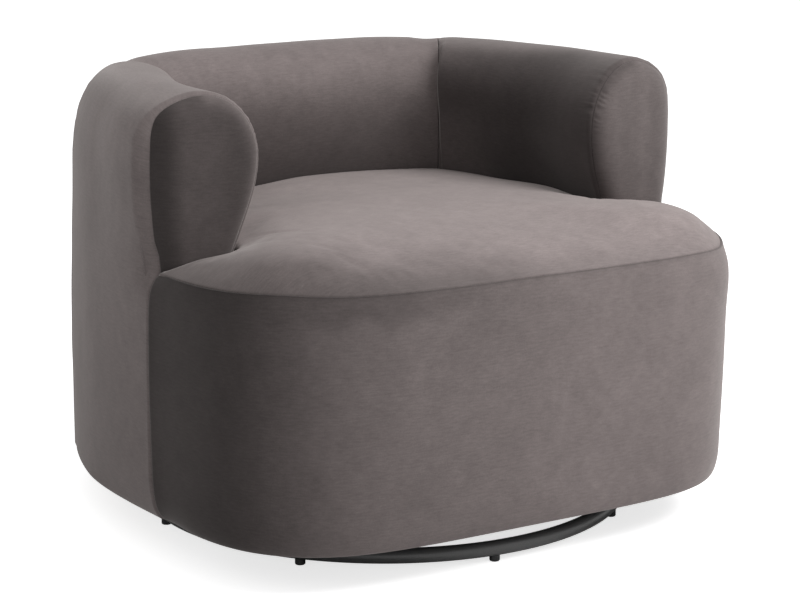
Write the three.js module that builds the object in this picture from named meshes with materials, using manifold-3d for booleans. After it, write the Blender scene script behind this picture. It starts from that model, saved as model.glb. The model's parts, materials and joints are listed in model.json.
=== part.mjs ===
// A wide swivel barrel armchair on a round tube base, in millimetres. +Z is up and the front faces -Y.
// The origin is on the floor, on the swivel axis. Stations and sections: the wall and the seat border are
// sections drawn as [out, z] points, out being the distance from a plan line, carried along that plan line.
import * as THREE from 'three';
import { mergeVertices } from 'three/addons/utils/BufferGeometryUtils.js';
import Module from 'manifold-3d';

const wasm = await Module();
wasm.setup();

const degree = Math.PI / 180;
const quarterTurn = 90 * degree;
const right = 1;
const left = -1;

// Overall sizes
const overallWidth = 1000;
const overallDepth = 930;
const overallHeight = 745;
const skirtHeight = 69; // floor to the underside of the upholstery

// Fits
const clearance = 0.3; // between pieces that touch
const jointGap = 0.3; // between two covers that meet at a seam
const overrun = 20; // how far a cutting solid runs past what it cuts

// Plan of the wall: a flat back, a slow curve, a tight corner at the seam, a long arm curve, a straight end
const wallThickness = 176;
const backCurveRadius = 330;
const innerCornerRadius = 22;
const armStraight = 66;
const armSetback = 326; // from the front of the chair to the middle of the arm's front edge
const armFrontTilt = 0.216; // how far the arm's front falls back towards the outside, per unit of width
const backCurveTurn = 22 * degree;
const seamTurn = 50 * degree;
const cornerTurn = 65 * degree;
const armEndTurn = quarterTurn;
const halfWall = wallThickness / 2;
const wallBackY = overallDepth / 2 - halfWall;
const armEndY = armSetback - overallDepth / 2;
const cornerRadius = halfWall + innerCornerRadius;
const cornerSwell = 18; // the outer face stands out this much more at the back corners
const cornerPullOut = 25; // the inner corner is drawn out to the side by this
const cornerPullForward = 15; // and forward by this
const cornerPullTurn = 75 * degree;
const cornerPullFullness = 3;
const curvesDepth = backCurveRadius * (1 - Math.cos(backCurveTurn))
  + cornerRadius * (Math.cos(backCurveTurn) - Math.cos(cornerTurn));
const armCurveRadius = (wallBackY - armEndY - armStraight - curvesDepth) / Math.cos(cornerTurn);
const backFlatHalf = overallWidth / 2 - halfWall - backCurveRadius * Math.sin(backCurveTurn)
  - cornerRadius * (Math.sin(cornerTurn) - Math.sin(backCurveTurn))
  - armCurveRadius * (1 - Math.sin(cornerTurn));

// Section of the wall
const crestOut = 4; // the highest line of the wall stands this far outside its middle line
const outerRoundHeight = 98;
const innerRoundHeight = 100;
const innerLean = 40; // how far the inner face draws in on its way down to the seat
const bottomInset = 14;
const bottomRise = 50;
const turnUnder = 34; // cover turned under the base board

// Seat block: a squarish round outline, its seam and its crown
const outlineCentreY = 41.5;
const outlineSquareness = 4.4;
const seamHeight = 470;
const seamInset = 6;
const bulgeHeight = 40; // the border draws in over this height below the seam
const seatCrown = 55;
const crownFullness = 3.8;
const seatDepth = 70; // from the seam down to the underside of the seat foam
const deckHeight = seamHeight - seatDepth;
const outlineReach = outlineCentreY + overallDepth / 2;

// Covers and foam
const coverThickness = 2;
const borderFoam = 23;
const topRoll = 82; // foam above the top rails
const facingCrown = 20;
const facingRingShares = [1, 0.965, 0.86, 0.6, 0.3];
const facingCrownShares = [0, 0.4, 0.76, 0.95, 0.99];

// Timber and boards
const baseBoardThickness = 18;
const baseBoardInset = 28; // behind the outer face of the covers
const frontBoardThickness = 9;
const railWidth = 86;
const railThickness = 22;
const panelThickness = 4;
const armBoardThickness = 18;
const postWidth = 40;
const postTurn = 36 * degree;
const seatRailHeight = 60;
const seatRailThickness = 25;
const seatRailSetIn = 47; // in front of the wall's middle line
const strapWidth = 60;
const strapThickness = 2;
const strapPitch = 150;
const strapCount = 4;
const foamFoot = 3; // the outer foam ends this far above the base board
const riserSide = 340;
const dustCoverThickness = 1.2;

// Ring base
const ringRadius = 405;
const tubeRadius = 12.5;
const footHeight = 8.6; // floor to the underside of the tube
const footRadius = 8.5;
const footChamfer = 1.2;
const footCount = 8;
const baseTwist = -6 * degree;
const spokeWidth = 30;
const spokeHeight = 20;
const spokeWall = 1.5;
const spokeCount = 4;
const hubRadius = 150;
const hubThickness = 4;

// Swivel bearing
const raceThickness = 4;
const raceHoleRadius = 95;
const upperRaceRadius = 170;
const ballCircleRadius = 120;
const ballRadius = 4.75;
const ballCount = 12;
const grooveDepth = 2.4;
const grooveClearance = 0.45;
const cageThickness = 1.6;
const cageHalfWidth = 7;
const lowerBoltCircle = 140;
const boltRadius = 4;
const boltHeadRadius = 7;
const boltHeadHeight = 5;
const screwCircle = 160;
const screwRadius = 3;
const screwHeadRadius = 5.5;
const screwHeadHeight = 3;
const screwReach = 16; // into the riser board
const fastenerCount = 4;

// Heights worked out from the sizes above
const tubeCentreZ = footHeight + tubeRadius;
const spokeBottomZ = tubeCentreZ - spokeHeight / 2;
const hubBottomZ = tubeCentreZ + spokeHeight / 2 + clearance;
const lowerRaceBottomZ = hubBottomZ + hubThickness + clearance;
const lowerRaceTopZ = lowerRaceBottomZ + raceThickness;
const ballCentreZ = lowerRaceTopZ + ballRadius - grooveDepth + clearance;
const upperRaceBottomZ = 2 * ballCentreZ - lowerRaceTopZ;
const upperRaceTopZ = upperRaceBottomZ + raceThickness;
const outerSpring = overallHeight - outerRoundHeight;
const innerSpring = overallHeight - innerRoundHeight;
const crownTopShare = (innerSpring - seamHeight - seatCrown) / (innerSpring - seamHeight);
const seatTuck = innerLean * crownTopShare ** 2 - clearance; // the seat's run under the wall's inner face
const baseBoardBottomZ = skirtHeight + coverThickness + clearance;
const baseBoardTopZ = baseBoardBottomZ + baseBoardThickness;
const frameFootZ = baseBoardTopZ + clearance;
const foamFootZ = baseBoardTopZ + foamFoot;
const strapBottomZ = deckHeight - clearance - strapThickness;
const frameDeckZ = strapBottomZ - clearance;
const railTopZ = overallHeight - topRoll;
const railOuter = halfWall - baseBoardInset;
const railInner = railOuter - railWidth;
const panelOuter = railOuter + clearance + panelThickness;
const skinDepth = coverThickness + clearance;

// How finely the curves are cut
const wallBackSteps = [-1, -0.86, -0.72, -0.58, -0.44, -0.22, 0];
const armCurveSteps = 5;
const borderSteps = 26;
const roundSteps = 4;
const leanSteps = 4;
const cushionBackSteps = 12;
const cushionRingShares = [0.25, 0.5, 0.68, 0.82, 0.92];
const ringSegments = 56;
const tubeSegments = 10;
const raceSegments = 40;
const grooveSteps = 4;
const boltSegments = 8;
const footSegments = 12;
const ballSegments = 8;
const ballRings = 4;

const finish = (color, roughness, metalness) => (
  () => new THREE.MeshStandardMaterial({ color, roughness, metalness }));
const velvet = finish(0x7a706d, 0.9, 0);
const foam = finish(0xe8dfc4, 0.95, 0);
const timber = finish(0xc29a6b, 0.8, 0);
const webbing = finish(0x2f2f33, 0.9, 0);
const blackSteel = finish(0x2a2b2c, 0.45, 0.7);
const zincSteel = finish(0xa9adb0, 0.35, 1);
const blackPlastic = finish(0x1c1c1d, 0.6, 0);
const dustCloth = finish(0x1a1a1c, 0.95, 0);

const chair = new THREE.Group();
const ringBase = new THREE.Group();
ringBase.rotation.z = baseTwist;
chair.add(ringBase);

// Adds one named piece to a group, placed and turned about the vertical.
function addPiece(group, name, geometry, material, place = [0, 0, 0], turn = 0) {
  const mesh = new THREE.Mesh(geometry, material());
  mesh.name = name;
  mesh.position.set(...place);
  mesh.rotation.z = turn;
  group.add(mesh);
}

// A geometry from corner points and triangles, turned to face outwards.
function closedGeometry(points, triangles) {
  let volume = 0;
  for (const [a, b, c] of triangles) {
    const corner = new THREE.Vector3(...points[a]);
    volume += corner.dot(new THREE.Vector3(...points[b]).cross(new THREE.Vector3(...points[c])));
  }
  const facing = volume < 0 ? triangles.map(([a, b, c]) => [c, b, a]) : triangles;
  const geometry = new THREE.BufferGeometry();
  geometry.setAttribute('position', new THREE.Float32BufferAttribute(points.flat(), 3));
  geometry.setIndex(facing.flat());
  return geometry;
}

// Booleans: a geometry as a solid, and a solid as a geometry again.
function solidOf(geometry, place = [0, 0, 0], turn = 0) {
  const bare = new THREE.BufferGeometry();
  bare.setAttribute('position', geometry.getAttribute('position').clone());
  bare.setIndex(geometry.index);
  bare.rotateZ(turn).translate(...place);
  const merged = mergeVertices(bare);
  const mesh = new wasm.Mesh({
    numProp: 3,
    vertProperties: merged.getAttribute('position').array,
    triVerts: new Uint32Array(merged.index.array),
  });
  return new wasm.Manifold(mesh);
}

function geometryOf(solid) {
  const mesh = solid.getMesh();
  const geometry = new THREE.BufferGeometry();
  geometry.setAttribute('position', new THREE.BufferAttribute(mesh.vertProperties, mesh.numProp));
  geometry.setIndex(new THREE.BufferAttribute(mesh.triVerts, 1));
  return geometry;
}

function cut(geometry, ...tools) {
  return geometryOf(tools.reduce((rest, tool) => rest.subtract(tool), solidOf(geometry)));
}

// A station on the wall's middle line, by how far the line has turned from the back towards an arm.
function wallStation(turn, side, forward = 0) {
  const arcs = [[backCurveTurn, backCurveRadius], [cornerTurn, cornerRadius], [armEndTurn, armCurveRadius]];
  let x = backFlatHalf;
  let y = wallBackY;
  let from = 0;
  for (const [to, radius] of arcs) {
    const end = Math.min(turn, to);
    if (end > from) {
      x += radius * (Math.sin(end) - Math.sin(from));
      y -= radius * (Math.cos(from) - Math.cos(end));
    }
    from = to;
  }
  const [nx, ny] = [side * Math.sin(turn), Math.cos(turn)];
  const swell = 1 + cornerSwell / halfWall * Math.sin(2 * turn) ** 2;
  const pull = cornerPull(turn) / halfWall;
  const inner = [nx - side * cornerPullOut * pull, ny + cornerPullForward * pull];
  return { x: side * x, y: y - forward, outer: [nx * swell, ny * swell], inner };
}

// How much of the inner corner's pull a station takes: all of it at the seam, none away from it.
function cornerPull(turn) {
  if (turn < seamTurn) return Math.max(0, (turn - backCurveTurn) / (seamTurn - backCurveTurn));
  return Math.max(0, 1 - ((turn - seamTurn) / (cornerPullTurn - seamTurn)) ** cornerPullFullness);
}

// A station in the arm's straight end, in a plane that falls back towards the outside.
function armEndStation(side, forward) {
  const across = [side, armFrontTilt];
  return { ...wallStation(armEndTurn, side, forward), outer: across, inner: across };
}

// Stations of the back, from the left seam to the right seam.
function backStations() {
  const half = wallBackSteps.map((share) => wallStation(-share * seamTurn, left));
  const mirrored = half.map(({ x, y, outer, inner }) => (
    { x: -x, y, outer: [-outer[0], outer[1]], inner: [-inner[0], inner[1]] })).reverse();
  return [...half, ...mirrored];
}

// Stations of an arm, from just past the seam to its front end.
function armStations(side, endForward) {
  const seam = wallStation(seamTurn, side);
  const [alongX, alongY] = [side * Math.cos(seamTurn), -Math.sin(seamTurn)];
  const start = { ...seam, x: seam.x + alongX * jointGap, y: seam.y + alongY * jointGap };
  const stations = [start, wallStation((seamTurn + cornerTurn) / 2, side)];
  for (let i = 0; i <= armCurveSteps; i += 1) {
    stations.push(wallStation(cornerTurn + (armEndTurn - cornerTurn) * i / armCurveSteps, side));
  }
  stations.push(armEndStation(side, endForward));
  return stations;
}

// The seat block's outline at a bearing from straight ahead towards the right, drawn in by inset.
function outlinePoint(bearing, inset = 0) {
  const across = Math.abs(Math.sin(bearing)) / (overallWidth / 2 - inset);
  const along = Math.abs(Math.cos(bearing)) / (outlineReach - inset);
  const reach = (across ** outlineSquareness + along ** outlineSquareness) ** (-1 / outlineSquareness);
  return { x: reach * Math.sin(bearing), y: outlineCentreY - reach * Math.cos(bearing) };
}

// The outline's front at a distance from the middle.
function outlineFrontY(x, inset) {
  const share = Math.abs(x) / (overallWidth / 2 - inset);
  const reachShare = (1 - share ** outlineSquareness) ** (1 / outlineSquareness);
  return outlineCentreY - (outlineReach - inset) * reachShare;
}

// Stations of the seat border, from the left crease round the front to the right crease.
function borderStations() {
  const creaseReach = outlineCentreY - armEndY - halfWall * armFrontTilt + jointGap;
  const share = (creaseReach / outlineReach) ** outlineSquareness;
  const creaseHalf = overallWidth / 2 * (1 - share) ** (1 / outlineSquareness);
  const lastBearing = Math.atan2(creaseHalf, creaseReach);
  const stations = [];
  for (let i = 0; i <= borderSteps; i += 1) {
    const bearing = lastBearing * (2 * i / borderSteps - 1);
    const { x, y } = outlinePoint(bearing);
    const across = Math.abs(x / (overallWidth / 2)) ** (outlineSquareness - 1) / (overallWidth / 2);
    const along = Math.abs((y - outlineCentreY) / outlineReach) ** (outlineSquareness - 1) / outlineReach;
    const atCrease = i === 0 || i === borderSteps;
    const length = Math.hypot(across, along);
    const square = [Math.sign(x) * across / length, -along / length];
    const outer = atCrease ? [Math.sign(x), armFrontTilt] : square;
    stations.push({ x, y, outer, inner: outer });
  }
  return stations;
}

function outFrom({ x, y, outer, inner }, out) {
  const [alongX, alongY] = out > 0 ? outer : inner;
  return new THREE.Vector2(x + alongX * out, y + alongY * out);
}

// Carries a closed section of [out, z] points along stations and closes both ends.
function sweep(section, stations) {
  const flat = section.map(([out, z]) => new THREE.Vector2(out, z));
  if (THREE.ShapeUtils.isClockWise(flat)) flat.reverse();
  const count = flat.length;
  const ringAt = (station) => flat.map(({ x: out, y: z }) => [...outFrom(station, out), z]);
  const points = stations.flatMap(ringAt);
  const triangles = [];
  for (let i = 0; i + 1 < stations.length; i += 1) {
    for (let k = 0; k < count; k += 1) {
      const [a, b] = [i * count + k, i * count + (k + 1) % count];
      const [c, d] = [a + count, b + count];
      if (flat[k].x < flat[(k + 1) % count].x) triangles.push([a, b, d], [a, d, c]);
      else triangles.push([a, b, c], [b, d, c]);
    }
  }
  const lastRing = (stations.length - 1) * count;
  for (const [a, b, c] of THREE.ShapeUtils.triangulateShape(flat, [])) {
    triangles.push([c, b, a], [a + lastRing, b + lastRing, c + lastRing]);
  }
  return closedGeometry(points, triangles);
}

// Moves an open line of [out, z] points sideways, to its left hand as it runs.
function offsetLine(line, depth) {
  const sides = line.slice(1).map(([out, z], i) => {
    const [dx, dz] = [out - line[i][0], z - line[i][1]];
    const length = Math.hypot(dx, dz);
    return [-dz / length, dx / length];
  });
  return line.map(([out, z], i) => {
    const before = sides[Math.max(i - 1, 0)];
    const after = sides[Math.min(i, sides.length - 1)];
    const spread = 1 + before[0] * after[0] + before[1] * after[1];
    return [out + depth * (before[0] + after[0]) / spread, z + depth * (before[1] + after[1]) / spread];
  });
}

// Ends a line at a height: keeps what lies above it and adds the crossing point.
function cutLineBelow(line, height) {
  const first = line.findIndex(([, z]) => z > height);
  if (first <= 0) return line;
  const [[outA, zA], [outB, zB]] = [line[first - 1], line[first]];
  const share = (height - zA) / (zB - zA);
  return [[outA + (outB - outA) * share, height], ...line.slice(first)];
}

function cutBothEnds(line, firstHeight, lastHeight) {
  const trimmed = cutLineBelow(line, firstHeight).toReversed();
  return cutLineBelow(trimmed, lastHeight).toReversed();
}

// The rounded bottom edge that the wall and the border share, from the turn-under to the upright face.
function bottomEdge(face) {
  const line = [[face - bottomInset - turnUnder, skirtHeight]];
  for (let i = 0; i <= roundSteps; i += 1) {
    const turn = quarterTurn * i / roundSteps;
    line.push([face - bottomInset * (1 - Math.sin(turn)), skirtHeight + bottomRise * (1 - Math.cos(turn))]);
  }
  return line;
}

// The wall's outer line, from under the base board, up, over the top and down the inner face.
function wallLine(depth) {
  const line = bottomEdge(halfWall);
  for (let i = 0; i < roundSteps; i += 1) {
    const turn = quarterTurn * i / roundSteps;
    const out = crestOut + (halfWall - crestOut) * Math.cos(turn);
    line.push([out, outerSpring + outerRoundHeight * Math.sin(turn)]);
  }
  for (let i = 0; i <= roundSteps; i += 1) {
    const turn = quarterTurn * i / roundSteps;
    const out = crestOut - (halfWall + crestOut) * Math.sin(turn);
    line.push([out, innerSpring + innerRoundHeight * Math.cos(turn)]);
  }
  for (let i = 1; i <= leanSteps; i += 1) {
    const share = i / leanSteps;
    line.push([innerLean * share ** 2 - halfWall, innerSpring - (innerSpring - seamHeight) * share]);
  }
  line.push([innerLean - halfWall, deckHeight]);
  return offsetLine(line, depth);
}

// The border's outer line, from the turn-under up to the seam.
function borderLine(depth) {
  const line = bottomEdge(0);
  const top = seamHeight - skinDepth;
  for (let i = 0; i <= roundSteps; i += 1) {
    const share = i / roundSteps;
    line.push([-seamInset * share ** 2, top - bulgeHeight * (1 - share)]);
  }
  return offsetLine(line, depth);
}

function skin(line) {
  return [...line(0), ...line(coverThickness).reverse()];
}

function block(inner, outer, bottom, top) {
  return [[inner, bottom], [outer, bottom], [outer, top], [inner, top]];
}

// The wall's foam: an outer pad, a roll over the top rail and an inner pad, open below.
function wallFoamSection() {
  const padFace = railInner - clearance;
  const rollBottom = railTopZ + clearance;
  const outerFace = panelOuter + clearance;
  const inside = [[padFace, deckHeight], [padFace, rollBottom]];
  const outside = [[outerFace, rollBottom], [outerFace, foamFootZ]];
  return [...cutBothEnds(wallLine(skinDepth), foamFootZ, deckHeight), ...inside, ...outside];
}

function armBoardSection() {
  const outside = cutBothEnds(wallLine(skinDepth), frameFootZ, deckHeight);
  const [lastOut] = outside.at(-1);
  return [...outside, [lastOut, frameFootZ]];
}

// Stations of the whole wall, from the left arm's front round the back to the right arm's front.
function wallStations() {
  const [leftArm, rightArm] = [left, right].map((side) => armStations(side, armStraight));
  return [...leftArm.reverse(), ...backStations(), ...rightArm];
}

// A closed outline in plan from wall stations at one distance and border stations at another.
function planShape(wallOut, borderOut) {
  const wall = wallStations().map((station) => outFrom(station, wallOut));
  const border = borderStations().reverse().map((station) => outFrom(station, borderOut));
  return new THREE.Shape([...wall, ...border]);
}

function plate(shape, bottom, thickness) {
  const geometry = new THREE.ExtrudeGeometry(shape, { depth: thickness, bevelEnabled: false });
  return geometry.translate(0, 0, bottom);
}

// The cushion's rim: the border's stations in front, and the rest of the outline behind them.
function cushionRim(inset) {
  const front = borderStations().map((station) => outFrom(station, -inset));
  const { x, y } = front.at(-1);
  const from = Math.atan2(x, outlineCentreY - y);
  const turn = 2 * (Math.PI - from) / cushionBackSteps;
  const behind = [];
  for (let k = 1; k < cushionBackSteps; k += 1) behind.push(outlinePoint(from + turn * k, inset));
  return [...front, ...behind];
}

// The cushion's body over the whole outline: a crowned top, a side that spreads downwards, a flat underside.
function crownedBlock(inset, topDrop, bottom, spread) {
  const rim = cushionRim(inset);
  const count = rim.length;
  const points = [[0, outlineCentreY, seamHeight + seatCrown - topDrop], [0, outlineCentreY, bottom]];
  const shares = [...cushionRingShares, 1];
  for (const share of shares) {
    const height = seamHeight + seatCrown * (1 - share ** crownFullness) - topDrop;
    const centreShare = outlineCentreY * (1 - share);
    points.push(...rim.map(({ x, y }) => [x * share, centreShare + y * share, height]));
  }
  points.push(...cushionRim(inset - spread).map(({ x, y }) => [x, y, bottom]));
  const triangles = [];
  const corner = (ring, k) => 2 + ring * count + k % count;
  const foot = shares.length;
  for (let k = 0; k < count; k += 1) {
    triangles.push([0, corner(0, k), corner(0, k + 1)], [1, corner(foot, k + 1), corner(foot, k)]);
    for (let ring = 0; ring < foot; ring += 1) {
      const [a, b] = [corner(ring, k), corner(ring, k + 1)];
      const [c, d] = [corner(ring + 1, k), corner(ring + 1, k + 1)];
      triangles.push([a, c, d], [a, d, b]);
    }
  }
  return solidOf(closedGeometry(points, triangles));
}

// The space the seat may fill in plan: everything in front of the arms, and between the walls behind.
function seatSpace() {
  const edge = -halfWall + seatTuck;
  const points = wallStations().map((station) => outFrom(station, edge));
  const wide = overallWidth / 2 + overrun;
  const innerBack = points.at(-1).y - jointGap;
  const outerBack = innerBack + (wide - points.at(-1).x) * armFrontTilt;
  const front = -overallDepth / 2 - overrun;
  const wings = [[points.at(-1).x, innerBack], [wide, outerBack], [wide, front],
    [-wide, front], [-wide, outerBack], [points[0].x, innerBack]];
  const shape = new THREE.Shape([...points, ...wings.map(([x, y]) => new THREE.Vector2(x, y))]);
  return solidOf(plate(shape, skirtHeight, overallHeight));
}

// An arm's front panel: the wall's outline, flat behind and crowned in front, standing on the seat.
function facingSolid(side, spare) {
  const line = cutBothEnds(wallLine(-spare), deckHeight, deckHeight);
  const middle = (overallHeight + deckHeight) / 2;
  const end = { ...armEndStation(side, armStraight), y: armEndY - jointGap + spare };
  const crown = facingCrown + 2 * spare;
  const points = [[end.x, end.y, middle], [end.x, end.y - crown, middle]];
  facingRingShares.forEach((share, ring) => {
    const rise = crown * facingCrownShares[ring];
    for (const [out, z] of line) {
      const { x, y } = outFrom(end, out * share);
      points.push([x, y - rise, middle + (z - middle) * share]);
    }
  });
  const count = line.length;
  const triangles = [];
  for (let k = 0; k < count; k += 1) {
    const next = (k + 1) % count;
    triangles.push([0, 2 + next, 2 + k]);
    for (let ring = 0; ring + 1 < facingRingShares.length; ring += 1) {
      const [a, b] = [2 + ring * count + k, 2 + ring * count + next];
      triangles.push([a, b, b + count], [a, b + count, a + count]);
    }
    const last = 2 + (facingRingShares.length - 1) * count;
    triangles.push([1, last + k, last + next]);
  }
  const foot = seamHeight + clearance - spare;
  const below = new THREE.BoxGeometry(overallWidth, overallDepth, foot).translate(0, 0, foot / 2);
  return solidOf(closedGeometry(points, triangles)).subtract(solidOf(below));
}

function makeSeat() {
  const space = seatSpace();
  const facingRoom = [left, right].map((side) => facingSolid(side, clearance));
  const fitted = (solid) => facingRoom.reduce((rest, room) => rest.subtract(room), solid.intersect(space));
  const outer = crownedBlock(seamInset, 0, seamHeight - coverThickness, 0);
  const inner = crownedBlock(seamInset, coverThickness, deckHeight, 0);
  const filling = crownedBlock(seamInset + skinDepth, skinDepth, deckHeight, seamInset);
  addPiece(chair, 'seat_cover', geometryOf(fitted(outer.subtract(inner))), velvet);
  addPiece(chair, 'seat_foam', geometryOf(fitted(filling)), foam);
}

function makeBorder() {
  const stations = borderStations();
  const padTop = deckHeight - bulgeHeight;
  const outside = cutLineBelow(borderLine(skinDepth), foamFootZ).filter(([, z]) => z < padTop);
  const [topOut] = outside.at(-1);
  const foamTop = deckHeight - clearance;
  const foamFace = -skinDepth - borderFoam;
  const foamSection = [...outside, [topOut, foamTop], [foamFace, foamTop], [foamFace, foamFootZ]];
  const boardFace = foamFace - clearance;
  addPiece(chair, 'border_cover', sweep(skin(borderLine), stations), velvet);
  addPiece(chair, 'border_foam', sweep(foamSection, stations), foam);
  const boardSection = block(boardFace - frontBoardThickness, boardFace, frameFootZ, frameDeckZ);
  addPiece(chair, 'front_board', sweep(boardSection, stations), timber);
}

// Covers, foam, top rails and outer panels of the back and both arms.
function makeWall() {
  const boardBack = armStraight - armBoardThickness - clearance;
  const runs = [
    ['back', backStations(), backStations()],
    ['left_arm', armStations(left, armStraight), armStations(left, boardBack)],
    ['right_arm', armStations(right, armStraight), armStations(right, boardBack)],
  ];
  for (const [name, coverRun, innerRun] of runs) {
    addPiece(chair, `${name}_cover`, sweep(skin(wallLine), coverRun), velvet);
    addPiece(chair, `${name}_foam`, sweep(wallFoamSection(), innerRun), foam);
    const rail = block(railInner, railOuter, railTopZ - railThickness, railTopZ);
    addPiece(chair, `${name}_top_rail`, sweep(rail, innerRun), timber);
    const panel = block(railOuter + clearance, panelOuter, frameFootZ, railTopZ);
    addPiece(chair, `${name}_outer_panel`, sweep(panel, innerRun), timber);
  }
}

function makeArmFronts() {
  for (const [name, side] of [['left', left], ['right', right]]) {
    const run = [armEndStation(side, armStraight - armBoardThickness), armEndStation(side, armStraight)];
    addPiece(chair, `${name}_arm_front_board`, sweep(armBoardSection(), run), timber);
    addPiece(chair, `${name}_arm_facing`, geometryOf(facingSolid(side, 0)), velvet);
  }
}

// Two posts at the back corners, and the rail between them that holds the webbing.
function makeBackFrame() {
  const postTop = railTopZ - railThickness - clearance;
  const postHeight = postTop - frameFootZ;
  const curveRise = (postWidth / 2) ** 2 / (2 * (cornerRadius + railInner)); // over a post's half width
  const postDepth = railWidth - 2 * curveRise - clearance;
  const seatRailTop = frameDeckZ;
  const room = [];
  for (const [name, side] of [['left', left], ['right', right]]) {
    const station = wallStation(postTurn, side);
    const middle = outFrom(station, (railInner + railOuter) / 2);
    const place = [...middle, frameFootZ + postHeight / 2];
    const turn = -side * postTurn;
    const post = (spare) => new THREE.BoxGeometry(postWidth + spare, postDepth + spare, postHeight + spare);
    addPiece(chair, `${name}_back_post`, post(0), timber, place, turn);
    room.push(solidOf(post(2 * clearance), place, turn));
  }
  const span = 2 * wallStation(postTurn, right).x;
  const railY = wallBackY - seatRailSetIn;
  const rail = new THREE.BoxGeometry(span, seatRailThickness, seatRailHeight);
  rail.translate(0, railY, seatRailTop - seatRailHeight / 2);
  const whole = room.reduce((rest, post) => rest.subtract(post), solidOf(rail));
  const kept = whole.decompose().sort((a, b) => b.volume() - a.volume())[0];
  addPiece(chair, 'back_seat_rail', geometryOf(kept), timber);
}

function makeWebbing() {
  const back = wallBackY - seatRailSetIn + seatRailThickness / 2 - clearance;
  const z = strapBottomZ + strapThickness / 2;
  for (let i = 0; i < strapCount; i += 1) {
    const x = strapPitch * (i - (strapCount - 1) / 2);
    const front = outlineFrontY(Math.abs(x) + strapWidth / 2, skinDepth + borderFoam + 2 * clearance);
    const strap = new THREE.BoxGeometry(strapWidth, back - front, strapThickness);
    addPiece(chair, `webbing_strap_${i + 1}`, strap, webbing, [x, (back + front) / 2, z]);
  }
}

function makeBoards() {
  const board = planShape(railOuter, -baseBoardInset);
  addPiece(chair, 'base_board', plate(board, baseBoardBottomZ, baseBoardThickness), timber);
  const riserBottom = upperRaceTopZ + clearance;
  const riserTop = baseBoardBottomZ - clearance;
  const riser = new THREE.BoxGeometry(riserSide, riserSide, riserTop - riserBottom);
  riser.translate(0, 0, (riserTop + riserBottom) / 2);
  addPiece(chair, 'riser_board', cut(riser, ...screwHoles(riserBottom)), timber);
  const hem = bottomInset + turnUnder + clearance;
  const cloth = planShape(halfWall - hem, -hem);
  const half = riserSide / 2 + clearance;
  const corners = [[-half, -half], [half, -half], [half, half], [-half, half]];
  cloth.holes.push(new THREE.Path(corners.map(([x, y]) => new THREE.Vector2(x, y))));
  const clothBottom = baseBoardBottomZ - clearance - dustCoverThickness;
  addPiece(chair, 'dust_cover', plate(cloth, clothBottom, dustCoverThickness), dustCloth);
}

// Places on a circle, from straight ahead towards the right.
function around(radius, count, offsetShare = 0) {
  return Array.from({ length: count }, (_, k) => {
    const bearing = 2 * Math.PI * (k + offsetShare) / count;
    return { x: radius * Math.sin(bearing), y: -radius * Math.cos(bearing), bearing };
  });
}

// A turned solid from [radius, z] points that start and end on the axis.
function turned(profile, segments) {
  const points = profile.map(([radius, z]) => new THREE.Vector2(radius, z));
  if (THREE.ShapeUtils.isClockWise(points)) points.reverse();
  return new THREE.LatheGeometry(points, segments).rotateX(Math.PI / 2);
}

function roundBar(radius, bottom, top, segments) {
  return turned([[0, bottom], [radius, bottom], [radius, top], [0, top]], segments);
}

function boltHoles(circle, radius, bottom, top, offsetShare) {
  return around(circle, fastenerCount, offsetShare)
    .map(({ x, y }) => solidOf(roundBar(radius + clearance, bottom, top, boltSegments), [x, y, 0]));
}

function screwHoles(riserBottom) {
  const top = riserBottom + screwReach + clearance;
  return boltHoles(screwCircle, screwRadius, upperRaceBottomZ - overrun, top, 1 / 2);
}

function headedBolt(headBottom, headHeight, headRadius, radius, top) {
  const under = headBottom + headHeight;
  const head = [[0, headBottom], [headRadius, headBottom], [headRadius, under]];
  return turned([...head, [radius, under], [radius, top], [0, top]], boltSegments);
}

// The ring, its feet and the four spokes, each end cut to the tube it meets.
function makeRingBase() {
  const ring = (radius) => (
    new THREE.TorusGeometry(ringRadius, radius, tubeSegments, ringSegments).translate(0, 0, tubeCentreZ));
  addPiece(ringBase, 'base_ring', ring(tubeRadius), blackSteel);
  const ringRoom = solidOf(ring(tubeRadius + clearance));
  const footTop = spokeBottomZ - clearance; // the foot's head cups the tube and clears the spokes
  const sole = [[0, 0], [footRadius - footChamfer, 0], [footRadius, footChamfer]];
  const foot = turned([...sole, [footRadius, footTop], [0, footTop]], footSegments);
  around(ringRadius, footCount).forEach(({ x, y }, k) => {
    const solid = solidOf(foot, [x, y, 0]).subtract(ringRoom);
    addPiece(ringBase, `foot_${k + 1}`, geometryOf(solid), blackPlastic);
  });
  const start = spokeWidth / 2 + clearance;
  const length = ringRadius - start;
  const bar = (width, height, run) => (
    new THREE.BoxGeometry(width, run, height).translate(0, -start - length / 2, tubeCentreZ));
  const bore = bar(spokeWidth - 2 * spokeWall, spokeHeight - 2 * spokeWall, length + 2 * overrun);
  around(ringRadius, spokeCount, 1 / 2).forEach(({ bearing }, k) => {
    const tube = solidOf(bar(spokeWidth, spokeHeight, length)).subtract(solidOf(bore));
    const solid = tube.rotate([0, 0, bearing / degree]).subtract(ringRoom);
    addPiece(ringBase, `spoke_${k + 1}`, geometryOf(solid), blackSteel);
  });
}

// One race of the bearing in section, with its ball groove, open face up or down.
function raceSection(outerRadius, face, back) {
  const groove = ballRadius + grooveClearance;
  const sign = Math.sign(face - back);
  const half = Math.acos((ballRadius - grooveDepth + clearance) / groove);
  const section = [[raceHoleRadius, face]];
  for (let i = 0; i <= grooveSteps; i += 1) {
    const turn = half * (2 * i / grooveSteps - 1);
    section.push([ballCircleRadius + groove * Math.sin(turn), ballCentreZ - sign * groove * Math.cos(turn)]);
  }
  section.push([outerRadius, face], [outerRadius, back], [raceHoleRadius, back], [raceHoleRadius, face]);
  return section;
}

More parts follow.
